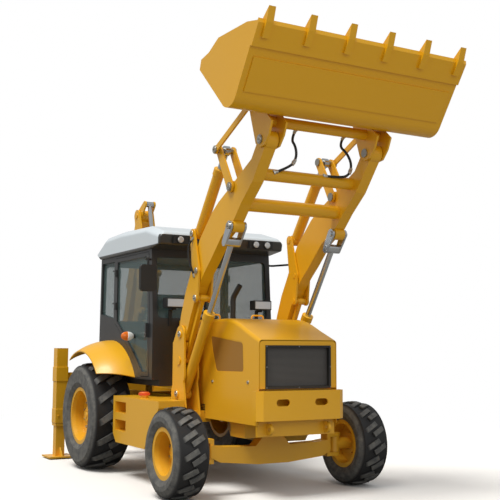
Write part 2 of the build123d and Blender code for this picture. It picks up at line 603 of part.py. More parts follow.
# Fixed panes: windscreen, rear window and quarter windows, set in their frames
with BuildPart() as cab_windows:
    lean = 60.0 / (CAB_EAVES - SILL)
    pane_half = CAB_HALF - POST - SEAT
    front_top = CAB_FRONT - lean * (2470 - SILL)
    with BuildSketch(side(pane_half)) as screen:
        with BuildLine():
            Polyline((CAB_FRONT - 30, SILL + SEAT), (front_top - 30, 2470 - SEAT),
                     (front_top - 30 + GLASS_T, 2470 - SEAT), (CAB_FRONT - 30 + GLASS_T, SILL + SEAT),
                     close=True)
        make_face()
    extrude(screen.sketch, amount=2 * pane_half)
    rear_lean = 30.0 / (CAB_EAVES - 1320)
    rear_low = CAB_REAR + rear_lean * (SILL - 1320) + 30
    rear_high = CAB_REAR + rear_lean * (2470 - 1320) + 30
    with BuildSketch(side(pane_half)) as rear_pane:
        with BuildLine():
            Polyline((rear_low, SILL + SEAT), (rear_high, 2470 - SEAT), (rear_high + GLASS_T, 2470 - SEAT),
                     (rear_low + GLASS_T, SILL + SEAT), close=True)
        make_face()
    extrude(rear_pane.sketch, amount=2 * pane_half)
    for corner_x in (CAB_REAR, CAB_FRONT):
        corners = cab_windows.edges().filter_by(lambda e: abs(e.center().X - corner_x - REAR_AXLE_X) < 150
                                                and e.length < 20 and e.length > GLASS_T - 1)
        fillet(corners, PANE_CORNER - SEAT)
    for sign in SIDES:
        y0, y1 = both(CAB_HALF - 30, CAB_HALF - 30 + GLASS_T, sign)
        prism([(CAB_REAR + 56, 1861), (CAB_REAR + 76, 2500 - SEAT), (DOOR_REAR - POST - SEAT, 2500 - SEAT),
               (DOOR_REAR - POST - SEAT, 1792)], y0, y1)
cab_windows.part.label = "cab_windows"
export_step(cab_windows.part, "parts/cab_windows.step")

# Roof: a moulded cap with chamfered ends, overhanging the cab, with a lamp band at the front
ROOF_FRONT = 1480.0
ROOF_REAR = -560.0
ROOF_HALF = 800.0
with BuildPart() as cab_roof:
    with BuildSketch(side(ROOF_HALF)) as cap:
        with BuildLine():
            Polyline((CAB_REAR + 40, CAB_EAVES + SEAT), (ROOF_REAR, 2640), (ROOF_REAR + 60, 2700),
                     (ROOF_REAR + 330, 2830), (300, ROOF_TOP), (1100, ROOF_TOP - 20),
                     (ROOF_FRONT - 30, 2740), (ROOF_FRONT, 2700), (ROOF_FRONT - 30, 2590),
                     (CAB_FRONT - 60, CAB_EAVES + SEAT), close=True)
        make_face()
    extrude(cap.sketch, amount=2 * ROOF_HALF)
    chamfer(cab_roof.edges().filter_by(lambda e: abs(abs(e.center().Y) - ROOF_HALF) < 1
                                       and e.center().Z > 2720), 60)
    prism([(CAB_REAR + 80, CAB_EAVES - 1), (CAB_REAR + 80, 2700), (300, 2790), (1050, 2770),
           (CAB_FRONT - 120, 2700), (CAB_FRONT - 120, CAB_EAVES - 1)], -700, 700, mode=Mode.SUBTRACT)
cab_roof.part.label = "cab_roof"
export_step(cab_roof.part, "parts/cab_roof.step")

# Doors: a frame that follows the curved sill over the fender, each with its pane
def door_outline(inset):
    """The door's outline in side view, drawn in by inset all round."""
    with BuildSketch() as shape:
        with BuildLine():
            Polyline((DOOR_REAR + 5, DOOR_CURVE[0][1] + 6), (DOOR_REAR + 5, DOOR_TOP - 5),
                     (DOOR_FRONT - 45, DOOR_TOP - 5), (DOOR_FRONT - 5, SILL), (DOOR_FRONT - 5, 1126),
                     (DOOR_CURVE[2][0] + 3, 1126))
            ThreePointArc((DOOR_CURVE[2][0] + 3, 1126), (614, 1390), (DOOR_REAR + 5, 1736))
        make_face()
        if inset:
            offset(amount=-inset, kind=Kind.INTERSECTION)
    return shape.sketch


door_face = CAB_HALF + 2
for side_name, sign in (("right", -1), ("left", 1)):
    top_y = max(sign * door_face, sign * (door_face - DOOR_T))
    with BuildPart() as door:
        with BuildSketch(side(top_y)) as frame:
            add(door_outline(0))
            add(door_outline(46), mode=Mode.SUBTRACT)
        extrude(frame.sketch, amount=DOOR_T)
        y0, y1 = both(door_face, door_face + 16, sign)
        for z in DOOR_HINGE_Z:
            box(DOOR_HINGE_X - HINGE_R, DOOR_HINGE_X + HINGE_R, y0, y1, z, z + HINGE_H)
            bar_z(DOOR_HINGE_X, sign * HINGE_Y, HINGE_R, z, z + HINGE_H)
            bar_z(DOOR_HINGE_X, sign * HINGE_Y, HINGE_PIN + PIN_GAP, z - 1, z + HINGE_H + 1, mode=Mode.SUBTRACT)
        y0, y1 = both(door_face, door_face + 34, sign)
        box(DOOR_FRONT - 45, DOOR_FRONT - 22, y0, y1, 1560, 1720)
    door.part.label = f"door_{side_name}"
    export_step(door.part, f"parts/door_{side_name}.step")
    with BuildPart() as pane:
        y0, y1 = both(door_face - 16 - GLASS_T, door_face - 16, sign)
        with BuildSketch(side(y1)) as glass:
            add(door_outline(46 + SEAT))
        extrude(glass.sketch, amount=GLASS_T)
    pane.part.label = f"door_{side_name}_glass"
    export_step(pane.part, f"parts/door_{side_name}_glass.step")

# Seat and steering column inside the cab
SEAT_X = 250.0
with BuildPart() as cab_interior:
    box(SEAT_X - 180, SEAT_X + 180, -170, 170, CAB_FLOOR + 20 + SEAT, 1460)
    with BuildSketch(side(250)) as cushion:
        with BuildLine():
            Polyline((SEAT_X - 260, 1440), (SEAT_X + 280, 1450), (SEAT_X + 290, 1560), (SEAT_X - 130, 1540),
                     (SEAT_X - 250, 2120), (SEAT_X - 350, 2120), close=True)
        make_face()
        fillet(cushion.vertices(), 30)
    extrude(cushion.sketch, amount=500)
    prism([(900, CAB_FLOOR + 20 + SEAT), (1130, CAB_FLOOR + 20 + SEAT), (1000, 1720), (930, 1700)], -110, 110)
    with BuildSketch(Plane(origin=(REAR_AXLE_X + 920, 0, 1765), z_dir=(-0.45, 0, 0.9))) as wheel:
        Circle(200)
        Circle(172, mode=Mode.SUBTRACT)
        Rectangle(360, 36)
        Circle(50)
    extrude(wheel.sketch, amount=26)
    bar_along((960, 1690), (905, 1800), 0, 22, 0, 100)
cab_interior.part.label = "cab_interior"
export_step(cab_interior.part, "parts/cab_interior.step")

# Exhaust-side fittings: headlamp boxes on brackets, roof lamps, side lamps and mirrors
LAMP_X = 1285.0
LAMP_Y = 560.0
LAMP_Z = 1890.0
with BuildPart() as lamps:
    for sign in SIDES:
        y0, y1 = both(LAMP_Y - 115, LAMP_Y + 115, sign)
        box(LAMP_X + 20, LAMP_X + 130, y0, y1, LAMP_Z, LAMP_Z + 110)
        y0, y1 = both(LAMP_Y - 20, LAMP_Y + 20, sign)
        box(CAB_FRONT + SEAT, LAMP_X + 80, y0, y1, LAMP_Z - 24, LAMP_Z)
        box(CAB_FRONT + SEAT, CAB_FRONT + 16, y0, y1, SILL - 90, LAMP_Z)
        y0, y1 = both(330, 640, sign)
        prism([(ROOF_FRONT - 27, 2600), (ROOF_FRONT + 20, 2600), (ROOF_FRONT + 20, 2690),
               (ROOF_FRONT - 2.4, 2690)], y0, y1)
        for y in (410, 560):
            bar_x(sign * y, 2645, 44, ROOF_FRONT + 20, ROOF_FRONT + 34)
lamps.part.label = "lamps"
export_step(lamps.part, "parts/lamps.step")

MIRROR_X = 1520.0
MIRROR_Y = 950.0
MIRROR_Z = 2060.0
with BuildPart() as mirrors:
    for sign in SIDES:
        with BuildLine() as arm:
            FilletPolyline((REAR_AXLE_X + 1172, sign * (CAB_HALF + SEAT), 2440),
                           (REAR_AXLE_X + 1172, sign * (CAB_HALF + 60), 2440),
                           (REAR_AXLE_X + MIRROR_X, sign * MIRROR_Y, 2440),
                           (REAR_AXLE_X + MIRROR_X, sign * MIRROR_Y, MIRROR_Z + 280), radius=28)
        with BuildSketch(Plane(origin=arm.line @ 0, z_dir=arm.line % 0)) as tube:
            Circle(12)
        sweep(tube.sketch, path=arm.line)
        with BuildSketch(across(MIRROR_X - 25)) as head:
            with Locations((sign * MIRROR_Y, MIRROR_Z + 140)):
                RectangleRounded(190, 290, 40)
        extrude(head.sketch, amount=50)
mirrors.part.label = "mirrors"
export_step(mirrors.part, "parts/mirrors.step")


# Wheels: dished rims with a hub barrel, tyres turned from one section
def rim_profile(radius, width, dish):
    """Half section of a rim: (distance along the axle, radius) from the outer flange inward."""
    half = width / 2
    return [(-half, radius - 26), (-half, radius + 16), (-half + RIM_WALL, radius + 16),
            (-half + RIM_WALL, radius), (-half + 40, radius - 20), (half - 40, radius - 20),
            (half - RIM_WALL, radius), (half - RIM_WALL, radius + 16), (half, radius + 16),
            (half, radius - 26), (half - 44, radius - 34), (dish + RIM_WALL, radius - 34),
            (dish + RIM_WALL, HUB_R - 30), (dish, HUB_R - 30), (dish, radius - 34),
            (-half + 44, radius - 34)]


def turned(points, x, y, z, outward, mode=Mode.ADD):
    """A ring turned about the wheel's axle; the first coordinate runs outward from the middle."""
    plane = Plane(origin=(REAR_AXLE_X + x, y, z), x_dir=(0, outward, 0), z_dir=(outward, 0, 0))
    with BuildSketch(plane) as half:
        with BuildLine():
            Polyline(*points, close=True)
        make_face()
    axle_line = Axis((REAR_AXLE_X + x, y, z), (0, 1, 0))
    revolve(half.sketch, axis=axle_line, mode=mode)


def tyre_profile(radius, width, rim, tread):
    """Half section of a tyre's body, with a flat crown one tread's height inside its radius."""
    half = width / 2
    return [(-half + 30, rim + 17), (-half, rim + 70), (-half, radius - 90), (-half + 40, radius - tread),
            (half - 40, radius - tread), (half, radius - 90), (half, rim + 70), (half - 30, rim + 17)]


LUG_OVERLAP = 34.0
LUG_SHARE = 0.27
def lugs(x, y, radius, width, tread, count, skew):
    """Slanted bars across a tyre's crown, from the two shoulders by turns, all as one list."""
    s = radians(skew)
    thick = LUG_SHARE * 2 * pi * radius / count
    reach = (width / 2 - thick / 2 * sin(s)) / cos(s) - 4
    blocks = []
    for k in range(2 * count):
        out = 1 if k % 2 else -1
        turn = radians(270 + 180 * k / count)
        radial = Vector(cos(turn), 0, sin(turn))
        tangent = Vector(-sin(turn), 0, cos(turn)) * out
        run = Vector(0, out, 0) * cos(s) + tangent * sin(s)
        flank = run.cross(radial)
        plane = Plane(origin=Vector(REAR_AXLE_X + x, y, radius) - flank * (thick / 2), x_dir=run, z_dir=flank)
        up = 1 if plane.y_dir.dot(radial) > 0 else -1

        def top(u, drop):
            """A point of the bar's back whose outer corners lie on the radius less the drop."""
            return (u, up * sqrt((radius - drop) ** 2 - (u * sin(s) + thick / 2 * cos(s)) ** 2))

        with BuildSketch(plane, mode=Mode.PRIVATE) as bar:
            with BuildLine():
                Polyline((-LUG_OVERLAP, up * (radius - tread - 20)), (-LUG_OVERLAP, up * radius),
                         (LUG_OVERLAP, up * radius), top(width / 2 - 70, 6), top(reach - 26, 40),
                         top(reach - 12, 96), (reach - 60, up * (radius - 130)), close=True)
            make_face()
        blocks.append(extrude(bar.sketch, amount=thick, mode=Mode.PRIVATE))
    return blocks


WHEELS = {
    # name: x, track, tyre radius, tyre width, rim radius, disc from the middle, tread, lugs' slant
    "front": (WHEELBASE, FRONT_TRACK, FRONT_TYRE_R, FRONT_TYRE_W, FRONT_RIM_R, -30.0, 24.0, 28.0),
    "rear": (0.0, REAR_TRACK, REAR_TYRE_R, REAR_TYRE_W, REAR_RIM_R, 60.0, 34.0, 32.0),
}
LUG_COUNT = 15
for end, (x, track, tyre_r, tyre_w, rim_r, dish, tread, slant) in WHEELS.items():
    for side_name, sign in (("right", -1), ("left", 1)):
        y = sign * track / 2
        with BuildPart() as rim:
            turned(rim_profile(rim_r, tyre_w - 70, dish), x, y, tyre_r, sign)
            turned([(dish, 45), (dish, HUB_R), (dish + RIM_WALL + 40, HUB_R - 14),
                    (dish + RIM_WALL + 40, 45)], x, y, tyre_r, sign)
        rim.part.label = f"rim_{end}_{side_name}"
        export_step(rim.part, f"parts/rim_{end}_{side_name}.step")
        with BuildPart() as tyre:
            turned(tyre_profile(tyre_r, tyre_w, rim_r, tread), x, y, tyre_r, sign)
            add(lugs(x, y, tyre_r, tyre_w, tread, LUG_COUNT, slant))
        tyre.part.label = f"tyre_{end}_{side_name}"
        export_step(tyre.part, f"parts/tyre_{end}_{side_name}.step")

# Knuckles: each turns on its kingpin between the beam's fork ears and carries the wheel's hub
for side_name, sign in (("right", -1), ("left", 1)):
    with BuildPart() as knuckle:
        bar_z(WHEELBASE, sign * KINGPIN_Y, 56, FORK_BOTTOM + FORK_T + 2, FORK_TOP - FORK_T - 2)
        y0, y1 = both(KINGPIN_Y, FRONT_TRACK / 2 - 50, sign)
        bar_y((WHEELBASE, FRONT_TYRE_R), 62, y0, y1)
        y0, y1 = both(FRONT_TRACK / 2 - 50, FRONT_TRACK / 2 + 40, sign)
        bar_y((WHEELBASE, FRONT_TYRE_R), 45 - PIN_GAP, y0, y1)
        y0, y1 = both(FRONT_TRACK / 2 - 60, FRONT_TRACK / 2 - 36, sign)
        bar_y((WHEELBASE, FRONT_TYRE_R), 110, y0, y1)
        bar_z(WHEELBASE, sign * KINGPIN_Y, 28 + PIN_GAP, FORK_BOTTOM, FORK_TOP, mode=Mode.SUBTRACT)
        box(WHEELBASE - 170, WHEELBASE - 20, *both(KINGPIN_Y - 20, KINGPIN_Y + 20, sign), 400, 430)
        bar_z(WHEELBASE, sign * KINGPIN_Y, 28 + PIN_GAP, FORK_BOTTOM, FORK_TOP, mode=Mode.SUBTRACT)
    knuckle.part.label = f"knuckle_{side_name}"
    export_step(knuckle.part, f"parts/knuckle_{side_name}.step")

# Loader arms: two boxed beams with a knee, tied by two cross tubes
ARM_BACK = [(1716, 1640), (1760, 1800), (1860, 2030), (2190, 2570), (2470, 2822), (2600, 2905),
            (2840, 3018), (3273, 3231), (3425, 3425)]
ARM_FRONT = [(3545, 3325), (3290, 3010), (3070, 2830), (2930, 2690), (2668, 2545), (2445, 2338),
             (2300, 2215), (2165, 2080), (1985, 1765), (1880, 1560)]
CROSS_TUBES = (((3200, 3112), 60), ((2940, 2852), 68))
ARM_IN = ARM_Y - ARM_W / 2
ARM_OUT = ARM_Y + ARM_W / 2
with BuildPart() as loader_arms:
    for sign in SIDES:
        y0, y1 = both(ARM_IN, ARM_OUT, sign)
        with BuildSketch(side(y1)) as beam:
            with BuildLine():
                Polyline(*ARM_BACK, *ARM_FRONT, close=True)
            make_face()
            with Locations(PIVOT, TIP_PIN):
                Circle(90)
            with Locations(GUIDE_PIN, LIFT_TOP):
                Circle(60)
        extrude(beam.sketch, amount=ARM_W)
        for place in (PIVOT, TIP_PIN, GUIDE_PIN):
            bar_y(place, PIN_R + PIN_GAP, y0, y1, mode=Mode.SUBTRACT)
        y0, y1 = both(ARM_IN - FREE - LINK_PLATE - 6, ARM_OUT + FREE + LINK_PLATE + 6, sign)
        bar_y(LEVER_PIN, PIN_R, y0, y1)
        for y_in, y_out in ((ARM_IN - FREE + 1, ARM_IN), (ARM_OUT, ARM_OUT + FREE - 1)):
            bar_y(LEVER_PIN, PIN_R + 22, *both(y_in, y_out, sign))
    for place, radius in CROSS_TUBES:
        bar_y(place, radius, -ARM_IN, ARM_IN)
loader_arms.part.label = "loader_arms"
export_step(loader_arms.part, "parts/loader_arms.step")

# Plates that straddle an arm lie in these two layers a side
LAYERS = ((ARM_IN - FREE - LINK_PLATE, ARM_IN - FREE), (ARM_OUT + FREE, ARM_OUT + FREE + LINK_PLATE))

# Tilt levers: two plates a side on the arm's boss, pinned together above and below the arm
with BuildPart() as tilt_levers:
    for sign in SIDES:
        for y_in, y_out in LAYERS:
            wrap([(LEVER_TOP, 50), (LEVER_PIN, 58), (LINK_PIN, 46)], *both(y_in, y_out, sign))
        bar_y(LEVER_PIN, PIN_R + PIN_GAP, *both(LAYERS[0][0], LAYERS[1][1], sign), mode=Mode.SUBTRACT)
        bar_y(LINK_PIN, PIN_R, *both(LAYERS[0][0] - 8, LAYERS[1][1] + 8, sign))
        bar_y(LEVER_TOP, PIN_R, *both(LAYERS[0][0] - 8, LAYERS[0][0], sign))
        bar_y(LEVER_TOP, PIN_R, *both(LAYERS[1][1], LAYERS[1][1] + 8, sign))
tilt_levers.part.label = "tilt_levers"
export_step(tilt_levers.part, "parts/tilt_levers.step")

# Tower links: a slim bar a side that holds the lever upright as the arm rises
EYE_W = 40.0
with BuildPart() as tower_links:
    for sign in SIDES:
        y0, y1 = both(ARM_Y - 20, ARM_Y + 20, sign)
        wrap([(TOWER_PIN, 22), (LINK_PIN, 22)], y0, y1)
        for place in (TOWER_PIN, LINK_PIN):
            bar_y(place, 37, *both(ARM_Y - EYE_W, ARM_Y + EYE_W, sign))
        for place in (TOWER_PIN, LINK_PIN):
            bar_y(place, PIN_R + PIN_GAP, *both(ARM_Y - EYE_W, ARM_Y + EYE_W, sign), mode=Mode.SUBTRACT)
tower_links.part.label = "tower_links"
export_step(tower_links.part, "parts/tower_links.step")


# Cylinders: a barrel with a base eye and a gland, and a rod whose piston stays inside
def barrel(base, top, y, radius, bore, length, eye_r, eye_half, pin=PIN_R):
    """A cylinder's barrel from its base eye, hollow to the bore, with a gland at its mouth."""
    bar_along(base, top, y, radius, eye_r * 0.7, length)
    bar_along(base, top, y, radius + 8, length - 70, length)
    bar_y(base, eye_r, y - eye_half, y + eye_half)
    bar_along(base, top, y, bore, eye_r + 20, length + 1, mode=Mode.SUBTRACT)
    bar_y(base, pin + PIN_GAP, y - eye_half, y + eye_half, mode=Mode.SUBTRACT)


LIFT_BARREL = 1020.0
LIFT_ENGAGED = 145.0         # how far the rod still sits in the barrel with the arms at their highest
LIFT_R = 54.0
LIFT_ROD_R = 30.0
ROD_FIT = 0.3
with BuildPart() as lift_barrels:
    for sign in SIDES:
        barrel(LIFT_BASE, LIFT_TOP, sign * ARM_Y, LIFT_R, LIFT_ROD_R + ROD_FIT, LIFT_BARREL, 56, 55)
lift_barrels.part.label = "lift_barrels"
export_step(lift_barrels.part, "parts/lift_barrels.step")

# Lift rods: each ends in a fork that straddles the arm
FORK_REACH = 185.0
with BuildPart() as lift_rods:
    reach = span(LIFT_BASE, LIFT_TOP)
    for sign in SIDES:
        bar_along(LIFT_BASE, LIFT_TOP, sign * ARM_Y, LIFT_ROD_R, LIFT_BARREL - LIFT_ENGAGED,
                  reach - FORK_REACH)
        root = toward(LIFT_TOP, LIFT_BASE, FORK_REACH)
        wrap([(root, 38), (toward(LIFT_TOP, LIFT_BASE, FORK_REACH - 20), 38)],
             *both(LAYERS[0][0], LAYERS[1][1], sign))
        for y_in, y_out in LAYERS:
            wrap([(LIFT_TOP, 52), (root, 38)], *both(y_in, y_out, sign))
        bar_y(LIFT_TOP, PIN_R, *both(LAYERS[1][1], LAYERS[1][1] + 12, sign))
        bar_y(LIFT_TOP, PIN_R, *both(LAYERS[0][0] - 12, LAYERS[0][0], sign))
lift_rods.part.label = "lift_rods"
export_step(lift_rods.part, "parts/lift_rods.step")

TILT_BARREL = 770.0
TILT_R = 56.0
TILT_ROD_R = 32.0
ROD_EYE_HALF = 28.0
with BuildPart() as tilt_barrels:
    for sign in SIDES:
        barrel(LEVER_TOP, GUIDE_TOP, sign * ARM_Y, TILT_R, TILT_ROD_R + ROD_FIT, TILT_BARREL, 56, 55)
tilt_barrels.part.label = "tilt_barrels"
export_step(tilt_barrels.part, "parts/tilt_barrels.step")

with BuildPart() as tilt_rods:
    reach = span(LEVER_TOP, GUIDE_TOP)
    for sign in SIDES:
        y = sign * ARM_Y
        bar_along(LEVER_TOP, GUIDE_TOP, y, TILT_ROD_R, reach - 900, reach - 40)
        bar_y(GUIDE_TOP, 50, y - ROD_EYE_HALF, y + ROD_EYE_HALF)
        bar_y(GUIDE_TOP, PIN_R + PIN_GAP, y - ROD_EYE_HALF, y + ROD_EYE_HALF, mode=Mode.SUBTRACT)
tilt_rods.part.label = "tilt_rods"
export_step(tilt_rods.part, "parts/tilt_rods.step")

# Guide pins and links: the links straddle the arm and lead the push links to the coupler
with BuildPart() as guide_pins:
    for sign in SIDES:
        bar_y(GUIDE_PIN, PIN_R, *both(LAYERS[0][0] - 10, LAYERS[1][1] + 10, sign))
        bar_y(GUIDE_PIN, PIN_R + 14, *both(LAYERS[1][1] + SEAT, LAYERS[1][1] + 12, sign))
        bar_y(GUIDE_PIN, PIN_R + 14, *both(LAYERS[0][0] - 12, LAYERS[0][0] - SEAT, sign))
guide_pins.part.label = "guide_pins"
export_step(guide_pins.part, "parts/guide_pins.step")

PUSH_IN = LAYERS[1][1] + 18
PUSH_OUT = PUSH_IN + LINK_PLATE
with BuildPart() as guide_links:
    for sign in SIDES:
        for y_in, y_out in LAYERS:
            wrap([(GUIDE_PIN, 56), (GUIDE_TOP, 48)], *both(y_in, y_out, sign))
        for place in (GUIDE_PIN, GUIDE_TOP):
            bar_y(place, PIN_R + PIN_GAP, *both(LAYERS[0][0], LAYERS[1][1], sign), mode=Mode.SUBTRACT)
guide_links.part.label = "guide_links"
export_step(guide_links.part, "parts/guide_links.step")

# Push pins: each holds a guide link's two plates, a tilt rod's eye and a push link together
with BuildPart() as push_pins:
    for sign in SIDES:
        bar_y(GUIDE_TOP, PIN_R, *both(LAYERS[0][0] - 12, PUSH_OUT + 4, sign))
        bar_y(GUIDE_TOP, PIN_R + 10, *both(LAYERS[0][0] - 12, LAYERS[0][0] - SEAT, sign))
        bar_y(GUIDE_TOP, PIN_R + 10, *both(PUSH_OUT + SEAT, PUSH_OUT + 10, sign))
push_pins.part.label = "push_pins"
export_step(push_pins.part, "parts/push_pins.step")

with BuildPart() as push_links:
    for sign in SIDES:
        y0, y1 = both(PUSH_IN, PUSH_OUT, sign)
        wrap([(GUIDE_TOP, 30), (PUSH_PIN, 30)], y0, y1)
        for place in (GUIDE_TOP, PUSH_PIN):
            bar_y(place, 44, y0, y1)
        bar_y(PUSH_PIN, PIN_R - 2, y0, y1, mode=Mode.SUBTRACT)
        bar_y(GUIDE_TOP, PIN_R + PIN_GAP, y0, y1, mode=Mode.SUBTRACT)
push_links.part.label = "push_links"
export_step(push_links.part, "parts/push_links.step")

# Tip pins at the arms' ends, and the coupler that turns on them
with BuildPart() as front_pins:
    for sign in SIDES:
        bar_y(TIP_PIN, PIN_R, *both(LAYERS[0][0] - 10, LAYERS[1][1] + 10, sign))
        bar_y(TIP_PIN, PIN_R + 14, *both(LAYERS[1][1] + SEAT, LAYERS[1][1] + 12, sign))
        bar_y(TIP_PIN, PIN_R + 14, *both(LAYERS[0][0] - 12, LAYERS[0][0] - SEAT, sign))
front_pins.part.label = "front_pins"
export_step(front_pins.part, "parts/front_pins.step")

BACK_GAP = 6.0
def wall_point(s):
    """A place s up the bucket's back wall from its heel, a seat's gap outside it."""
    length = span(BUCKET_HEEL, BUCKET_TOP)
    x = BUCKET_HEEL[0] + s * (BUCKET_TOP[0] - BUCKET_HEEL[0]) / length
    z = BUCKET_HEEL[1] + s * (BUCKET_TOP[1] - BUCKET_HEEL[1]) / length
    return (x - SEAT * 0.691, z - SEAT * 0.723)


COUPLER = [(3262, 3760), (3278, 3800), wall_point(425), wall_point(4), (3604, 3590), (3690, 3510),
           (3640, 3400), (3557, 3310), (3472, 3300), (3400, 3350), (3310, 3610)]
BEAM_PLACE = (3480, 3560)
with BuildPart() as coupler:
    for sign in SIDES:
        for y_in, y_out in LAYERS:
            y0, y1 = both(y_in, y_out, sign)
            prism(COUPLER, y0, y1)
            bar_y(TIP_PIN, PIN_R + PIN_GAP, y0, y1, mode=Mode.SUBTRACT)
    bar_y(BEAM_PLACE, 52, -LAYERS[0][0], LAYERS[0][0])
    for sign in SIDES:
        bar_y(BEAM_PLACE, 52, *both(LAYERS[0][1], LAYERS[1][0], sign))
coupler.part.label = "coupler"
export_step(coupler.part, "parts/coupler.step")

# Loader bucket: a rolled floor and back between two side plates, with an edge and bolted teeth
LIP_ANGLE = atan2(BUCKET_LIP[1] - BUCKET_BEND[1], BUCKET_LIP[0] - BUCKET_BEND[0])
EDGE_LENGTH = 220.0
EDGE_T = 22.0


def floor_point(s, n):
    """A place s along the floor from the bend toward the lip and n below the floor."""
    x = BUCKET_BEND[0] + s * cos(LIP_ANGLE) + n * sin(LIP_ANGLE)
    z = BUCKET_BEND[1] + s * sin(LIP_ANGLE) - n * cos(LIP_ANGLE)
    return (x, z)


FLOOR_LENGTH = span(BUCKET_BEND, BUCKET_LIP)
BELLY = (3740.0, 3560.0)
SIDE_EDGE = [(3180, 4140), (3335, 4165), (3525, 4250), (4057, 4232)]
with BuildPart() as loader_bucket:
    with BuildSketch(side(BUCKET_HALF - BUCKET_SIDE)) as skin:
        with BuildLine():
            outer_floor = Line(BUCKET_LIP, BUCKET_BEND)
            outer_bend = ThreePointArc(BUCKET_BEND, BELLY, BUCKET_HEEL)
            outer_back = Line(BUCKET_HEEL, BUCKET_TOP)
            offset(amount=BUCKET_PLATE, side=Side.RIGHT)
        make_face()
    extrude(skin.sketch, amount=2 * (BUCKET_HALF - BUCKET_SIDE))
    for sign in SIDES:
        y0, y1 = both(BUCKET_HALF - BUCKET_SIDE, BUCKET_HALF, sign)
        with BuildSketch(side(y1)) as cheek:
            with BuildLine():
                Line(BUCKET_LIP, BUCKET_BEND)
                ThreePointArc(BUCKET_BEND, BELLY, BUCKET_HEEL)
                Line(BUCKET_HEEL, BUCKET_TOP)
                Polyline(BUCKET_TOP, *SIDE_EDGE, BUCKET_LIP)
            make_face()
        extrude(cheek.sketch, amount=BUCKET_SIDE)
    edge = [floor_point(FLOOR_LENGTH - EDGE_LENGTH, 0), floor_point(FLOOR_LENGTH + 20, 0),
            floor_point(FLOOR_LENGTH - 10, EDGE_T), floor_point(FLOOR_LENGTH - EDGE_LENGTH, EDGE_T)]
    prism(edge, -BUCKET_HALF, BUCKET_HALF)
    wear = [floor_point(40, 0), floor_point(FLOOR_LENGTH - EDGE_LENGTH - 90, 0),
            floor_point(FLOOR_LENGTH - EDGE_LENGTH - 90, 12), floor_point(40, 12)]
    prism(wear, -BUCKET_HALF + 60, BUCKET_HALF - 60)
    tooth = [floor_point(FLOOR_LENGTH - 130, -34), floor_point(FLOOR_LENGTH + 10, -34),
             floor_point(FLOOR_LENGTH + TOOTH_REACH, EDGE_T / 2), floor_point(FLOOR_LENGTH + 10, EDGE_T + 26),
             floor_point(FLOOR_LENGTH - 130, EDGE_T + 26)]
    for k in range(TOOTH_COUNT):
        y = (k - (TOOTH_COUNT - 1) / 2) * TOOTH_PITCH
        prism(tooth, y - 34, y + 34)
loader_bucket.part.label = "loader_bucket"
export_step(loader_bucket.part, "parts/loader_bucket.step")

# Rear frame: a plate with two cross rails for the carriage and a sleeve for each stabiliser
RAIL_PLATE_X = -1170.0
CROSS_X = -1215.0
CROSS_HALF = 900.0
CROSS_LOW = 440.0
CROSS_HIGH = 1040.0
CROSS_H = 70.0
with BuildPart() as rear_frame:
    sleeve = LEG_W / 2 + SLEEVE_WALL
    box(RAIL_PLATE_X, RAIL_REAR - SEAT, -LEG_Y + sleeve, LEG_Y - sleeve, CROSS_LOW, CROSS_HIGH + CROSS_H)
    box(RAIL_PLATE_X - 1, RAIL_REAR, -240, 240, 560, 700, mode=Mode.SUBTRACT)
    for z in (CROSS_LOW, CROSS_HIGH):
        box(CROSS_X, RAIL_PLATE_X, -CROSS_HALF, CROSS_HALF, z, z + CROSS_H)
    for sign in SIDES:
        y0, y1 = both(LEG_Y - sleeve, LEG_Y + sleeve, sign)
        box(LEG_X - sleeve, LEG_X + sleeve, y0, y1, SLEEVE_BOTTOM, SLEEVE_TOP)
        y0, y1 = both(LEG_Y - LEG_W / 2, LEG_Y + LEG_W / 2, sign)
        box(LEG_X - LEG_W / 2, LEG_X + LEG_W / 2, y0, y1, SLEEVE_BOTTOM - 1, SLEEVE_TOP - SLEEVE_WALL,
            mode=Mode.SUBTRACT)
rear_frame.part.label = "rear_frame"
export_step(rear_frame.part, "parts/rear_frame.step")

# Stabiliser legs: a square tube that slides in its sleeve, on a ribbed foot
LEG_FIT = 0.3
LEG_LENGTH = 1100.0
PAD_W = 340.0
PAD_T = 20.0
for side_name, sign in (("right", -1), ("left", 1)):
    with BuildPart() as leg:
        half = LEG_W / 2 - LEG_FIT
        low = PAD_GAP + PAD_T
        box(LEG_X - PAD_W / 2, LEG_X + PAD_W / 2, *both(LEG_Y - PAD_W / 2, LEG_Y + PAD_W / 2, sign),
            PAD_GAP, low)
        box(LEG_X - half, LEG_X + half, *both(LEG_Y - half, LEG_Y + half, sign), low, low + LEG_LENGTH)
        y0, y1 = both(LEG_Y - 10, LEG_Y + 10, sign)
        prism([(LEG_X - PAD_W / 2 + 10, low), (LEG_X + PAD_W / 2 - 10, low), (LEG_X + half, low + 110),
               (LEG_X - half, low + 110)], y0, y1)
    leg.part.label = f"stabiliser_{side_name}"
    export_step(leg.part, f"parts/stabiliser_{side_name}.step")

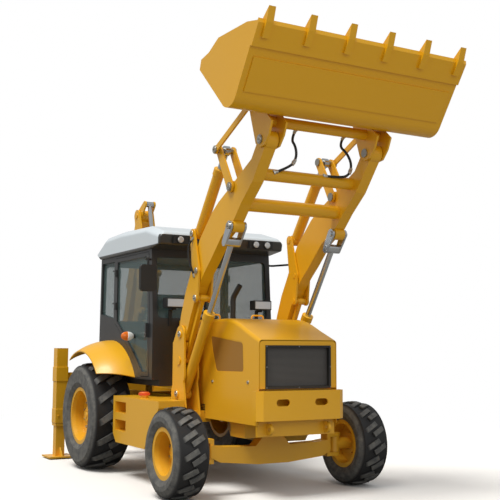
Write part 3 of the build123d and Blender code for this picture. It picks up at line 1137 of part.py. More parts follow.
# Carriage: a plate that hooks over the cross rails, with two knuckle plates for the swing post
CARRIAGE_HALF = 220.0
SLIDE_GAP = 0.3
KNUCKLE_T = 50.0
POST_PIN_R = 45.0
CARRIAGE_X = CROSS_X - SLIDE_GAP
with BuildPart() as carriage:
    y0, y1 = HOE_Y - CARRIAGE_HALF, HOE_Y + CARRIAGE_HALF
    top, low = CROSS_HIGH + CROSS_H + SLIDE_GAP, CROSS_LOW - SLIDE_GAP
    box(CARRIAGE_X - 36, CARRIAGE_X, y0, y1, low - 26, top + 26)
    box(CARRIAGE_X, RAIL_PLATE_X - SLIDE_GAP, y0, y1, top, top + 26)
    box(CARRIAGE_X, RAIL_PLATE_X - SLIDE_GAP, y0, y1, low - 26, low)
    for z in (CROSS_LOW, CROSS_HIGH):
        with BuildSketch(level(z)) as ear:
            with Locations((POST_X, HOE_Y)):
                Circle(66)
            with Locations((CARRIAGE_X - 20, HOE_Y - 130), (CARRIAGE_X - 20, HOE_Y + 130)):
                Circle(16)
            make_hull()
        extrude(ear.sketch, amount=KNUCKLE_T)
        bar_z(POST_X, HOE_Y, POST_PIN_R + PIN_GAP, z - 1, z + KNUCKLE_T + 1, mode=Mode.SUBTRACT)
carriage.part.label = "carriage"
export_step(carriage.part, "parts/carriage.step")

# Swing post: stands between the knuckles and carries the boom's foot and its cylinder's base
BOOM_LUG = BOOM_HALF + FREE
with BuildPart() as swing_post:
    base, head = CROSS_LOW + KNUCKLE_T + FREE, CROSS_HIGH - FREE
    bar_z(POST_X, HOE_Y, 78, base, head)
    bar_z(POST_X, HOE_Y, POST_PIN_R, CROSS_LOW - 8, CROSS_HIGH + KNUCKLE_T + FREE)
    box(POST_X - 80, POST_X + 70, HOE_Y - BOOM_LUG - 22, HOE_Y + BOOM_LUG + 22, 560, 860)
    for y in (HOE_Y - BOOM_LUG - 22, HOE_Y + BOOM_LUG):
        wrap([(BOOM_FOOT, 85), ((POST_X, 800), 60), ((POST_X, 620), 60)], y, y + 22)
    bar_y(BOOM_FOOT, PIN_R + 8, HOE_Y - BOOM_LUG - 34, HOE_Y + BOOM_LUG + 34)
    cap = CROSS_HIGH + KNUCKLE_T + FREE
    box(POST_X - 44, POST_X + 60, HOE_Y - 80, HOE_Y + 80, cap, cap + 46)
    for y in (HOE_Y - 80, HOE_Y + 60):
        wrap([(BOOM_CYL_BASE, 42), ((POST_X, cap + 24), 24), ((POST_X + 36, cap + 24), 24)], y, y + 20)
    bar_y(BOOM_CYL_BASE, PIN_R, HOE_Y - 86, HOE_Y + 86)
swing_post.part.label = "swing_post"
export_step(swing_post.part, "parts/swing_post.step")

# Boom: a bowed box beam, forked at the tip for the dipper
BOOM_REAR_EDGE = [(-1800, 690), (-1650, 1480), (-1440, 2330), (-1450, 2800), (-1560, 3310)]
BOOM_FRONT_EDGE = [(-1400, 3380), (-1250, 2900), (-1150, 2500), (-1165, 2290), (-1310, 1960), (-1365, 1850),
                   (-1485, 1450), (-1562, 1215), (-1645, 610)]
FORK_INNER = DIPPER_HALF + FREE
with BuildPart() as boom:
    with BuildSketch(side(HOE_Y + BOOM_HALF)) as beam:
        with BuildLine():
            Polyline(*BOOM_REAR_EDGE, *BOOM_FRONT_EDGE, close=True)
        make_face()
        with Locations(BOOM_FOOT, BOOM_TIP):
            Circle(88)
        with Locations(BOOM_CYL_TOP):
            Circle(44)
    extrude(beam.sketch, amount=2 * BOOM_HALF)
    for y in (HOE_Y - 78, HOE_Y + 58):
        wrap([(DIPPER_CYL_BASE, 44), ((-1200, 2450), 60)], y, y + 20)
    bar_y(DIPPER_CYL_BASE, PIN_R, HOE_Y - 80, HOE_Y + 80)
    box(-1700, -1000, HOE_Y - FORK_INNER, HOE_Y + FORK_INNER, 2740, 3600, mode=Mode.SUBTRACT)
    box(-1424, -1150, HOE_Y - 62, HOE_Y + 62, 1800, 2060, mode=Mode.SUBTRACT)
    bar_y(BOOM_FOOT, PIN_R + 8 + PIN_GAP, HOE_Y - BOOM_HALF, HOE_Y + BOOM_HALF, mode=Mode.SUBTRACT)
    bar_y(BOOM_TIP, PIN_R + 8, HOE_Y - BOOM_HALF - 12, HOE_Y + BOOM_HALF + 12)
boom.part.label = "boom"
export_step(boom.part, "parts/boom.step")

# Dipper: a tapered box with a tail for its cylinder
DIPPER_REAR_EDGE = [(-1560, 3400), (-1700, 2990), (-1900, 2200), (-2090, 1560)]
DIPPER_FRONT_EDGE = [(-1975, 1480), (-1830, 1900), (-1580, 2600), (-1420, 3240)]
with BuildPart() as dipper:
    with BuildSketch(side(HOE_Y + DIPPER_HALF)) as beam:
        with BuildLine():
            Polyline(*DIPPER_REAR_EDGE, *DIPPER_FRONT_EDGE, close=True)
        make_face()
        with Locations(BOOM_TIP):
            Circle(84)
        with Locations(BUCKET_PIN):
            Circle(62)
        with Locations(TIPPER_PIN):
            Circle(56)
    extrude(beam.sketch, amount=2 * DIPPER_HALF)
    for y in (HOE_Y - DIPPER_HALF, HOE_Y + DIPPER_HALF - 22):
        wrap([(BOOM_TIP, 84), (DIPPER_TAIL, 46)], y, y + 22)
        wrap([(HOE_CYL_BASE, 44), ((-1640, 2960), 60)], y, y + 22)
    bar_y(HOE_CYL_BASE, PIN_R, HOE_Y - DIPPER_HALF, HOE_Y + DIPPER_HALF)
    bar_y(BOOM_TIP, PIN_R + 8 + PIN_GAP, HOE_Y - DIPPER_HALF, HOE_Y + DIPPER_HALF, mode=Mode.SUBTRACT)
    bar_y(TIPPER_PIN, PIN_R, HOE_Y - DIPPER_HALF - 30, HOE_Y + DIPPER_HALF + 30)
    bar_y(BUCKET_PIN, PIN_R + PIN_GAP, HOE_Y - DIPPER_HALF, HOE_Y + DIPPER_HALF, mode=Mode.SUBTRACT)
dipper.part.label = "dipper"
export_step(dipper.part, "parts/dipper.step")

# Tipping levers beside the dipper's end, and the links from them to the bucket
with BuildPart() as hoe_tippers:
    for sign in SIDES:
        y0, y1 = sorted((HOE_Y + sign * (DIPPER_HALF + FREE), HOE_Y + sign * (DIPPER_HALF + FREE + 16)))
        wrap([(TIPPER_PIN, 48), (TIPPER_TOP, 40)], y0, y1)
        bar_y(TIPPER_PIN, PIN_R + PIN_GAP, y0, y1, mode=Mode.SUBTRACT)
        y0, y1 = sorted((HOE_Y + sign * (DIPPER_HALF + FREE + 16), HOE_Y + sign * (DIPPER_HALF + FREE + 44)))
        bar_y(TIPPER_TOP, PIN_R - 4, y0, y1)
hoe_tippers.part.label = "hoe_tippers"
export_step(hoe_tippers.part, "parts/hoe_tippers.step")

LINK_IN = DIPPER_HALF + FREE + 24
LINK_OUT = LINK_IN + 16
with BuildPart() as hoe_links:
    for sign in SIDES:
        y0, y1 = sorted((HOE_Y + sign * LINK_IN, HOE_Y + sign * LINK_OUT))
        wrap([(TIPPER_TOP, 40), (HOE_LINK_PIN, 40)], y0, y1)
        bar_y(TIPPER_TOP, PIN_R - 4 + PIN_GAP, y0, y1, mode=Mode.SUBTRACT)
hoe_links.part.label = "hoe_links"
export_step(hoe_links.part, "parts/hoe_links.step")

# Backhoe bucket: a rolled shell between two side plates, hung from two ears
HOE_LIP = (-1880.0, 890.0)
HOE_SOLE = (-2090.0, 915.0)
HOE_BELLY = (-2310.0, 1175.0)
HOE_SHOULDER = (-2190.0, 1358.0)
HOE_TOP = (-2060.0, 1365.0)
HOE_MOUTH = (-1960.0, 1160.0)
HOE_PLATE = 16.0
HOE_TOOTH_COUNT = 5
with BuildPart() as hoe_bucket:
    with BuildSketch(side(HOE_Y + HOE_BUCKET_HALF)) as outline:
        with BuildLine():
            Line(HOE_LIP, HOE_SOLE)
            ThreePointArc(HOE_SOLE, HOE_BELLY, HOE_SHOULDER)
            Polyline(HOE_SHOULDER, HOE_TOP, HOE_MOUTH, HOE_LIP)
        make_face()
    extrude(outline.sketch, amount=2 * HOE_BUCKET_HALF)
    sole_in = (HOE_SOLE[0], HOE_SOLE[1] + HOE_PLATE)
    belly_in = (HOE_BELLY[0] + HOE_PLATE, HOE_BELLY[1])
    shoulder_in = (HOE_SHOULDER[0] + HOE_PLATE / 2, HOE_SHOULDER[1] - HOE_PLATE)
    with BuildSketch(side(HOE_Y + HOE_BUCKET_HALF - HOE_PLATE)) as hollow:
        with BuildLine():
            Line((HOE_LIP[0] + 60, HOE_LIP[1] + HOE_PLATE - 7), sole_in)
            ThreePointArc(sole_in, belly_in, shoulder_in)
            Polyline(shoulder_in, (HOE_TOP[0], HOE_TOP[1] - HOE_PLATE), (HOE_LIP[0] + 60, HOE_TOP[1] - HOE_PLATE),
                     (HOE_LIP[0] + 60, HOE_LIP[1] + HOE_PLATE - 7))
        make_face()
    extrude(hollow.sketch, amount=2 * (HOE_BUCKET_HALF - HOE_PLATE), mode=Mode.SUBTRACT)
    for sign in SIDES:
        y0, y1 = sorted((HOE_Y + sign * (LINK_OUT + 6), HOE_Y + sign * (LINK_OUT + 28)))
        wrap([(BUCKET_PIN, 55), (HOE_LINK_PIN, 46), ((-2190, 1345), 16), ((-2080, 1345), 16)], y0, y1)
    bar_y(BUCKET_PIN, PIN_R, HOE_Y - LINK_OUT - 34, HOE_Y + LINK_OUT + 34)
    for k in range(HOE_TOOTH_COUNT):
        y = HOE_Y + (k - (HOE_TOOTH_COUNT - 1) / 2) * (HOE_BUCKET_HALF - 35) / 2
        prism([(-1990, 880), (-1870, 862), (-1790, 880), (-1870, 912), (-1990, 922)], y - 28, y + 28)
hoe_bucket.part.label = "hoe_bucket"
export_step(hoe_bucket.part, "parts/hoe_bucket.step")


def cylinder_pair(name, base, top, radius, rod_r, length, rod_length, eye_half, top_eye):
    """A backhoe cylinder in the boom's plane: its barrel and its rod, as two pieces."""
    with BuildPart() as tube:
        barrel(base, top, HOE_Y, radius, rod_r + ROD_FIT, length, 42, eye_half, pin=PIN_R)
    with BuildPart() as rod:
        reach = span(base, top)
        bar_along(base, top, HOE_Y, rod_r, reach - rod_length, reach - 30)
        bar_y(top, 40, HOE_Y - top_eye, HOE_Y + top_eye)
    return tube, rod


boom_barrel, boom_rod = cylinder_pair("boom", BOOM_CYL_BASE, BOOM_CYL_TOP, 52, 32, 640, 690, 52, 50)
boom_barrel.part.label = "boom_barrel"
export_step(boom_barrel.part, "parts/boom_barrel.step")
boom_rod.part.label = "boom_rod"
export_step(boom_rod.part, "parts/boom_rod.step")

dipper_barrel, dipper_rod = cylinder_pair("dipper", DIPPER_CYL_BASE, DIPPER_TAIL, 50, 28, 560, 600, 50, 50)
dipper_barrel.part.label = "dipper_barrel"
export_step(dipper_barrel.part, "parts/dipper_barrel.step")
dipper_rod.part.label = "dipper_rod"
export_step(dipper_rod.part, "parts/dipper_rod.step")

hoe_barrel, hoe_rod = cylinder_pair("hoe", HOE_CYL_BASE, TIPPER_TOP, 45, 25, 700, 760, 50, 60)
hoe_barrel.part.label = "hoe_barrel"
export_step(hoe_barrel.part, "parts/hoe_barrel.step")
hoe_rod.part.label = "hoe_rod"
export_step(hoe_rod.part, "parts/hoe_rod.step")
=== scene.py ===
import math

import bmesh
import bpy
from mathutils import Matrix, Vector


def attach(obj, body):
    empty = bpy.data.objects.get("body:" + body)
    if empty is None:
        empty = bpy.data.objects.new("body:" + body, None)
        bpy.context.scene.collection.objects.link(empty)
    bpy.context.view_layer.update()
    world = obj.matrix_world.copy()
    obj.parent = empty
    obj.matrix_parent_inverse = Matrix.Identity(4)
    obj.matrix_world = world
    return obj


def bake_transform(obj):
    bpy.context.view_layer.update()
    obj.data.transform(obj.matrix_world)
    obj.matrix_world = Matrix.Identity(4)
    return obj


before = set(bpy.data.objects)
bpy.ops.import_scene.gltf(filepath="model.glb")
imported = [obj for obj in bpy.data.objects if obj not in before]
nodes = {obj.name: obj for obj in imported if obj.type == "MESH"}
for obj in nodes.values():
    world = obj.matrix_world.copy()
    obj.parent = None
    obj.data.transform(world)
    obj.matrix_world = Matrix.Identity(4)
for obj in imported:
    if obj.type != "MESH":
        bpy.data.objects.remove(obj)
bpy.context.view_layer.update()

# The camera stands low in front of the machine's right front wheel and looks slightly up.
# Its place is told from the rear axle's middle, which lies REAR_AXLE_X behind the origin.
REAR_AXLE_X = -1.0
CAMERA_PLACE = (REAR_AXLE_X + 10.604, -4.817, 1.469)
CAMERA_TURN = math.radians(29.4947)
CAMERA_RISE = math.radians(6.0569)
CAMERA_ROLL = math.radians(0.2732)
LENS_MM = 65.19
SENSOR_MM = 36.0
VIEW_DEPTH = 400.0

camera_data = bpy.data.cameras.new("camera")
camera_data.lens = LENS_MM
camera_data.sensor_width = SENSOR_MM
camera_data.clip_end = VIEW_DEPTH
camera = bpy.data.objects.new("camera", camera_data)
bpy.context.scene.collection.objects.link(camera)
gaze = Vector((-math.cos(CAMERA_TURN) * math.cos(CAMERA_RISE),
               math.sin(CAMERA_TURN) * math.cos(CAMERA_RISE), math.sin(CAMERA_RISE)))
turn = gaze.to_track_quat("-Z", "Y").to_matrix().to_4x4()
camera.matrix_world = Matrix.Translation(CAMERA_PLACE) @ turn @ Matrix.Rotation(CAMERA_ROLL, 4, "Z")
bpy.context.scene.camera = camera
bpy.context.scene.view_settings.view_transform = "Standard"


# The studio paper is the first thing with a finish. A material is a tree of shader nodes, and its
# colours are written as sRGB hex and turned linear here.
def linear(code):
    """The linear RGBA of an sRGB hex colour."""
    parts = [int(code[i:i + 2], 16) / 255 for i in (1, 3, 5)]
    flat = [c / 12.92 if c <= 0.04045 else ((c + 0.055) / 1.055) ** 2.4 for c in parts]
    return (*flat, 1.0)


def new_material(name):
    """A material with its principled shader; returns the material, its tree and the shader."""
    material = bpy.data.materials.new(name)
    material.use_nodes = True
    return material, material.node_tree, material.node_tree.nodes["Principled BSDF"]


def add(tree, kind, values=None, links=None, **settings):
    """Adds one shader node with its settings, its input values and its incoming links."""
    node = tree.nodes.new(kind)
    for key, value in settings.items():
        setattr(node, key, value)
    for key, value in (values or {}).items():
        node.inputs[key].default_value = value
    for key, source in (links or {}).items():
        tree.links.new(source, node.inputs[key])
    return node


# The floor is a plain white studio sheet that fades into a white surround a few metres away. Its
# own shade is for what it throws back on the machine; the camera sees it nearly white.
FLOOR_SIZE = 300.0
FADE_NEAR = 4.0
FADE_FAR = 9.0
PAPER_SHADE = "#8E8D8A"
PAPER_SEEN = "#F6F5F3"
floor_material, tree, shader = new_material("studio paper, matt white")
path = add(tree, "ShaderNodeLightPath")
sheet = add(tree, "ShaderNodeMix", {"A": linear(PAPER_SHADE), "B": linear(PAPER_SEEN)},
            {"Factor": path.outputs["Is Camera Ray"]}, data_type="RGBA")
tree.links.new(sheet.outputs["Result"], shader.inputs["Base Color"])
shader.inputs["Roughness"].default_value = 0.9
shader.inputs["Specular IOR Level"].default_value = 0.1
place = add(tree, "ShaderNodeTexCoord")
distance = add(tree, "ShaderNodeVectorMath", links={0: place.outputs["Object"]},
               operation="LENGTH")
fade = add(tree, "ShaderNodeMapRange", {"From Min": FADE_NEAR, "From Max": FADE_FAR},
           {"Value": distance.outputs["Value"]}, interpolation_type="SMOOTHSTEP")
white = add(tree, "ShaderNodeEmission", {"Color": (1, 1, 1, 1), "Strength": 1.0})
path = add(tree, "ShaderNodeLightPath")
seen = add(tree, "ShaderNodeMath", operation="MULTIPLY",
           links={0: fade.outputs["Result"], 1: path.outputs["Is Camera Ray"]})
mixed = add(tree, "ShaderNodeMixShader",
            links={0: seen.outputs[0], 1: shader.outputs[0], 2: white.outputs[0]})
tree.links.new(mixed.outputs[0], tree.nodes["Material Output"].inputs["Surface"])
mesh = bpy.data.meshes.new("floor")
work = bmesh.new()
bmesh.ops.create_grid(work, x_segments=1, y_segments=1, size=FLOOR_SIZE / 2)
work.to_mesh(mesh)
work.free()
floor = bpy.data.objects.new("floor", mesh)
floor.data.materials.append(floor_material)
bpy.context.scene.collection.objects.link(floor)

# Light: a white surround, a broad high sun from the machine's right, and a soft fill from the
# front, at the plain level at which a colour renders about as it is written
WORLD_LIGHT = 0.52
SUN_POWER = 2.7
FILL_POWER = 70.0
SUN_SPREAD = 25
SUN_COLOUR = (1.0, 0.97, 0.92)
SUN_WAY = (-0.16, 0.40, -0.90)
FILL_SIZE = 5.0
FILL_PLACE = (9.0, -1.5, 4.5)
FILL_AIM = (0.5, 0, 1.4)
world = bpy.data.worlds.new("studio")
world.use_nodes = True
bpy.context.scene.world = world
tree = world.node_tree
lit = tree.nodes["Background"]
lit.inputs["Color"].default_value = (1.0, 1.0, 1.0, 1.0)
lit.inputs["Strength"].default_value = WORLD_LIGHT
shown = add(tree, "ShaderNodeBackground", {"Color": (1.0, 1.0, 1.0, 1.0), "Strength": 1.0})
path = add(tree, "ShaderNodeLightPath")
mixed = add(tree, "ShaderNodeMixShader",
            links={0: path.outputs["Is Camera Ray"], 1: lit.outputs[0], 2: shown.outputs[0]})
tree.links.new(mixed.outputs[0], tree.nodes["World Output"].inputs["Surface"])

sun_data = bpy.data.lights.new("sun", "SUN")
sun_data.energy = SUN_POWER
sun_data.angle = math.radians(SUN_SPREAD)
sun_data.color = SUN_COLOUR
sun = bpy.data.objects.new("sun", sun_data)
sun.rotation_euler = Vector(SUN_WAY).to_track_quat("-Z", "Y").to_euler()
bpy.context.scene.collection.objects.link(sun)

fill_data = bpy.data.lights.new("fill", "AREA")
fill_data.energy = FILL_POWER
fill_data.size = FILL_SIZE
fill = bpy.data.objects.new("fill", fill_data)
fill.location = FILL_PLACE
fill.rotation_euler = (Vector(FILL_AIM) - fill.location).to_track_quat("-Z", "Y").to_euler()
bpy.context.scene.collection.objects.link(fill)


# Paint on steel plate: a sprayed enamel that dries with a faint orange peel, a little uneven in
# gloss, with road dust in the lower half. It gives the eye a clean colour and a soft highlight.
PEEL_MM = 6.0
DUST_TOP = 1.3
DUST_PATCHES = 3.0
ROAD_DUST = "#B9A27A"


def enamel(name, colour, roughness=0.34, coat=0.15, dust=0.12):
    """Sprayed enamel of one colour, with dust gathering below DUST_TOP metres."""
    material, tree, shader = new_material(name)
    place = add(tree, "ShaderNodeTexCoord")
    patches = add(tree, "ShaderNodeTexNoise", {"Scale": DUST_PATCHES, "Detail": 6.0, "Roughness": 0.6},
                  {"Vector": place.outputs["Object"]})
    height = add(tree, "ShaderNodeSeparateXYZ", links={"Vector": place.outputs["Object"]})
    low = add(tree, "ShaderNodeMapRange", {"From Min": DUST_TOP, "From Max": 0.0, "To Max": dust * 2},
              {"Value": height.outputs["Z"]})
    amount = add(tree, "ShaderNodeMath", operation="MULTIPLY",
                 links={0: low.outputs["Result"], 1: patches.outputs["Fac"]})
    painted = add(tree, "ShaderNodeMix", {"A": linear(colour), "B": linear(ROAD_DUST)},
                  {"Factor": amount.outputs[0]}, data_type="RGBA")
    tree.links.new(painted.outputs["Result"], shader.inputs["Base Color"])
    gloss = add(tree, "ShaderNodeMapRange", {"To Min": roughness - 0.05, "To Max": roughness + 0.12},
                {"Value": patches.outputs["Fac"]})
    tree.links.new(gloss.outputs["Result"], shader.inputs["Roughness"])
    peel = add(tree, "ShaderNodeTexNoise", {"Scale": 1000.0 / PEEL_MM, "Detail": 1.0},
               {"Vector": place.outputs["Object"]})
    bump = add(tree, "ShaderNodeBump", {"Strength": 0.04, "Distance": 0.001},
               {"Height": peel.outputs["Fac"]})
    tree.links.new(bump.outputs["Normal"], shader.inputs["Normal"])
    shader.inputs["Coat Weight"].default_value = coat
    shader.inputs["Coat Roughness"].default_value = 0.12
    return material


def finish_node(name, material):
    """Gives one CAD node its finish."""
    target = nodes[name]
    target.data.materials.clear()
    target.data.materials.append(material)


# Chassis, axles, tanks, towers, loader and backhoe: steel plate, cut, folded and welded, then
# sprayed as a whole in the machine's yellow enamel, as the discs of its wheels are
YELLOW = "#E8AC12"
yellow = enamel("yellow machine enamel", YELLOW)
for name in ("main_frame", "axles", "side_tanks", "loader_towers", "cowl", "bonnet", "rear_fenders",
             "rear_frame", "knuckle_right", "knuckle_left", "loader_arms", "tilt_levers",
             "tower_links", "guide_links", "push_links", "coupler", "loader_bucket", "carriage",
             "swing_post", "boom", "dipper",
             "hoe_tippers", "hoe_links", "hoe_bucket", "stabiliser_right", "stabiliser_left", "lift_barrels",
             "tilt_barrels", "boom_barrel", "dipper_barrel", "hoe_barrel", "rim_front_right",
             "rim_front_left", "rim_rear_right", "rim_rear_left"):
    finish_node(name, yellow)

# Cab frame and doors: pressed and bent steel tube and sheet, welded, in satin charcoal enamel,
# which reads as one dark shape against the pale roof
charcoal = enamel("charcoal cab enamel", "#2B2C2D", roughness=0.4, coat=0.1, dust=0.08)
for name in ("cab_frame", "door_right", "door_left"):
    finish_node(name, charcoal)

# Roof: one pale silver moulding with a darker visor strip round its front, and painted shade along its
# lower edge all round. Its loose faces are joined and its corners rounded as a mould leaves them.
VISOR_TOP = 2.700
VISOR_BACK = 0.432
PAINTED_SHADE_TOP = 2.596
ROOF_CORNER = 0.034
roof_shell, tree, shader = new_material("pale silver moulded roof")
place = add(tree, "ShaderNodeTexCoord")
apart = add(tree, "ShaderNodeSeparateXYZ", links={"Vector": place.outputs["Object"]})
forward = add(tree, "ShaderNodeMath", {1: VISOR_BACK}, {0: apart.outputs["X"]}, operation="GREATER_THAN")
below = add(tree, "ShaderNodeMath", {1: VISOR_TOP}, {0: apart.outputs["Z"]}, operation="LESS_THAN")
visor = add(tree, "ShaderNodeMath", links={0: forward.outputs[0], 1: below.outputs[0]}, operation="MULTIPLY")
# painted shade: below this height the roof is darkened all round, for its lower edge in shade
painted_shade_edge = add(tree, "ShaderNodeMath", {1: PAINTED_SHADE_TOP}, {0: apart.outputs["Z"]}, operation="LESS_THAN")
visor_and_painted_shade = add(tree, "ShaderNodeMath", links={0: visor.outputs[0], 1: painted_shade_edge.outputs[0]}, operation="MAXIMUM")
toned = add(tree, "ShaderNodeMix", {"A": linear("#D3DDE4"), "B": linear("#3C3D3D")},
            {"Factor": visor_and_painted_shade.outputs[0]}, data_type="RGBA")
tree.links.new(toned.outputs["Result"], shader.inputs["Base Color"])
shader.inputs["Roughness"].default_value = 0.32
shader.inputs["Coat Weight"].default_value = 0.3
finish_node("cab_roof", roof_shell)
joined = nodes["cab_roof"].modifiers.new("joined", "WELD")
joined.merge_threshold = 0.00005
flat = nodes["cab_roof"].modifiers.new("flat faces", "DECIMATE")
flat.decimate_type = "DISSOLVE"
flat.angle_limit = math.radians(1)
rounded = nodes["cab_roof"].modifiers.new("rounded edges", "BEVEL")
rounded.width = ROOF_CORNER
rounded.segments = 5
rounded.limit_method = "ANGLE"
rounded.angle_limit = math.radians(24)

# Engine, grille and exhaust: cast iron, perforated sheet and bent tube under black engine enamel,
# dull and dusty
iron = enamel("black engine enamel", "#1F2021", roughness=0.55, coat=0.0, dust=0.2)
for name in ("engine_block", "grille", "exhaust"):
    finish_node(name, iron)


# Cylinder rods and pins: ground steel, the rods hard chromed and wiped with oil, the pins plated
# with zinc, so that the rods mirror their surround and the pins are satin
MARKS_PER_M = 120.0


def chromed(name, colour, roughness):
    """Bright metal with fine turning marks round it."""
    material, tree, shader = new_material(name)
    shader.inputs["Base Color"].default_value = linear(colour)
    shader.inputs["Metallic"].default_value = 1.0
    place = add(tree, "ShaderNodeTexCoord")
    marks = add(tree, "ShaderNodeTexNoise", {"Scale": MARKS_PER_M, "Detail": 3.0},
                {"Vector": place.outputs["Object"]})
    gloss = add(tree, "ShaderNodeMapRange", {"To Min": roughness - 0.06, "To Max": roughness + 0.1},
                {"Value": marks.outputs["Fac"]})
    tree.links.new(gloss.outputs["Result"], shader.inputs["Roughness"])
    return material


chrome = chromed("hard chrome on ground steel", "#C4C7C9", 0.2)
for name in ("lift_rods", "tilt_rods", "boom_rod", "dipper_rod", "hoe_rod"):
    finish_node(name, chrome)
pin_steel = chromed("zinc plated pin steel", "#A7A49B", 0.42)
for name in ("guide_pins", "push_pins", "front_pins"):
    finish_node(name, pin_steel)


# Mirrors, seat, console and lamp housings: black polypropylene, injection moulded, with a fine
# grain that takes the shine off
GRAIN_MM = 2.5


def moulded(name, colour, roughness):
    """Moulded plastic with a fine spark-eroded grain."""
    material, tree, shader = new_material(name)
    shader.inputs["Base Color"].default_value = linear(colour)
    shader.inputs["Roughness"].default_value = roughness
    place = add(tree, "ShaderNodeTexCoord")
    grain = add(tree, "ShaderNodeTexNoise", {"Scale": 1000.0 / GRAIN_MM, "Detail": 2.0},
                {"Vector": place.outputs["Object"]})
    bump = add(tree, "ShaderNodeBump", {"Strength": 0.15, "Distance": 0.001},
               {"Height": grain.outputs["Fac"]})
    tree.links.new(bump.outputs["Normal"], shader.inputs["Normal"])
    return material


black_plastic = moulded("moulded black polypropylene", "#1E1F20", 0.55)
for name in ("mirrors", "cab_interior", "lamps"):
    finish_node(name, black_plastic)

# Cab panes: toughened glass with a slight green tint, bonded in rubber, which mirrors the bright
# surround and darkens the inside of the cab
glass, tree, shader = new_material("tinted toughened glass")
shader.inputs["Base Color"].default_value = linear("#5F7676")
shader.inputs["Roughness"].default_value = 0.04
shader.inputs["IOR"].default_value = 1.52
shader.inputs["Alpha"].default_value = 0.38
for name in ("cab_windows", "door_right_glass", "door_left_glass"):
    finish_node(name, glass)

# Tyres: black rubber, vulcanised in a lugged mould, greyed by dust on the lugs and walls, with
# painted shade in the grooves between the lugs
GROOVE_SHADE = "#1B1B1C"


def tread_rubber(name, axle_x, axle_z, groove):
    """Dusty rubber with painted shade where its distance from the axle is the groove's."""
    material, tree, shader = new_material(name)
    place = add(tree, "ShaderNodeTexCoord")
    dust = add(tree, "ShaderNodeTexNoise", {"Scale": 14.0, "Detail": 8.0, "Roughness": 0.7},
               {"Vector": place.outputs["Object"]})
    spread = add(tree, "ShaderNodeMapRange", {"From Min": 0.38, "From Max": 0.72},
                 {"Value": dust.outputs["Fac"]})
    toned = add(tree, "ShaderNodeMix", {"A": linear("#4A4B4B"), "B": linear("#75736D")},
                {"Factor": spread.outputs["Result"]}, data_type="RGBA")
    # painted shade: a ring at the groove's distance from the axle is darkened, for the shade between the lugs
    flat = add(tree, "ShaderNodeVectorMath", {1: (1.0, 0.0, 1.0)}, {0: place.outputs["Object"]},
               operation="MULTIPLY")
    away = add(tree, "ShaderNodeVectorMath", {1: (axle_x, 0.0, axle_z)}, {0: flat.outputs["Vector"]},
               operation="DISTANCE")
    rise = add(tree, "ShaderNodeMapRange", {"From Min": groove - 0.03, "From Max": groove - 0.008},
               {"Value": away.outputs["Value"]})
    fall = add(tree, "ShaderNodeMapRange",
               {"From Min": groove + 0.002, "From Max": groove + 0.016, "To Min": 1.0, "To Max": 0.0},
               {"Value": away.outputs["Value"]})
    painted_groove_shade = add(tree, "ShaderNodeMath", links={0: rise.outputs["Result"], 1: fall.outputs["Result"]},
               operation="MULTIPLY")
    groove_shaded = add(tree, "ShaderNodeMix", {"B": linear(GROOVE_SHADE)},
               {"Factor": painted_groove_shade.outputs[0], "A": toned.outputs["Result"]}, data_type="RGBA")
    tree.links.new(groove_shaded.outputs["Result"], shader.inputs["Base Color"])
    shader.inputs["Roughness"].default_value = 0.6
    grain = add(tree, "ShaderNodeTexNoise", {"Scale": 260.0, "Detail": 3.0},
                {"Vector": place.outputs["Object"]})
    bump = add(tree, "ShaderNodeBump", {"Strength": 0.25, "Distance": 0.002},
               {"Height": grain.outputs["Fac"]})
    tree.links.new(bump.outputs["Normal"], shader.inputs["Normal"])
    return material


for end, axle_x, axle_z, groove in (("front", 1.516, 0.440, 0.416), ("rear", -1.0, 0.630, 0.596)):
    rubber = tread_rubber(end + " tyre rubber, dusty", axle_x, axle_z, groove)
    for hand in ("right", "left"):
        finish_node("tyre_" + end + "_" + hand, rubber)

# Wheel nuts: zinc-plated hexagon nuts on their studs, ten round each disc, over the hub's flange,
# and a bolted hub cap on each axle's end
NUT_AF = 0.034
NUT_H = 0.022
NUTS = 10
CAP_R = 0.078
CAP_H = 0.016
CAP_BOLTS = 6
CAP_CIRCLE = 0.06
WHEELS = {
    # body: wheel's x, y of the disc's face, axle height, nuts' circle, y of the hub's end
    "wheel_front_right": (1.516, -1.0275, 0.440, 0.158, -1.0675),
    "wheel_front_left": (1.516, 1.0275, 0.440, 0.158, 1.0675),
    "wheel_rear_right": (-1.0, -1.020, 0.630, 0.176, -1.060),
    "wheel_rear_left": (-1.0, 1.020, 0.630, 0.176, 1.060),
}


def stood(place, outward):
    """The turn and place of something that stands at place and points outward."""
    return Matrix.Translation(place) @ Vector(outward).to_track_quat("Z", "Y").to_matrix().to_4x4()


def disc(work, place, outward, radius, height, sides=24, top=1.0):
    """A round or sided block on a surface, its upper end top times as wide."""
    bmesh.ops.create_cone(work, cap_ends=True, segments=sides, radius1=radius, radius2=radius * top,
                          depth=height,
                          matrix=stood(place, outward) @ Matrix.Translation((0, 0, height / 2)))


def hex_bolt(work, place, outward, across, height):
    """A washer, a hexagon with its corners turned off, and the stud's end."""
    disc(work, place, outward, across * 0.68, height * 0.14, 20)
    disc(work, place, outward, across * 0.577, height * 0.86, 6)
    disc(work, place, outward, across * 0.5, height * 0.94, 18, 0.86)
    disc(work, place, outward, across * 0.3, height * 1.3, 12, 0.9)


def piece(name, work, body, slot, *materials, smooth=False):
    """A finished piece in its place, which rides on a body and takes the given materials; its slot is not
    used.
    """
    bmesh.ops.recalc_face_normals(work, faces=work.faces)
    for face in work.faces:
        face.smooth = smooth
    mesh = bpy.data.meshes.new(name)
    work.to_mesh(mesh)
    work.free()
    made = bpy.data.objects.new(name, mesh)
    for material in materials:
        mesh.materials.append(material)
    bpy.context.scene.collection.objects.link(made)
    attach(made, body)
    return made


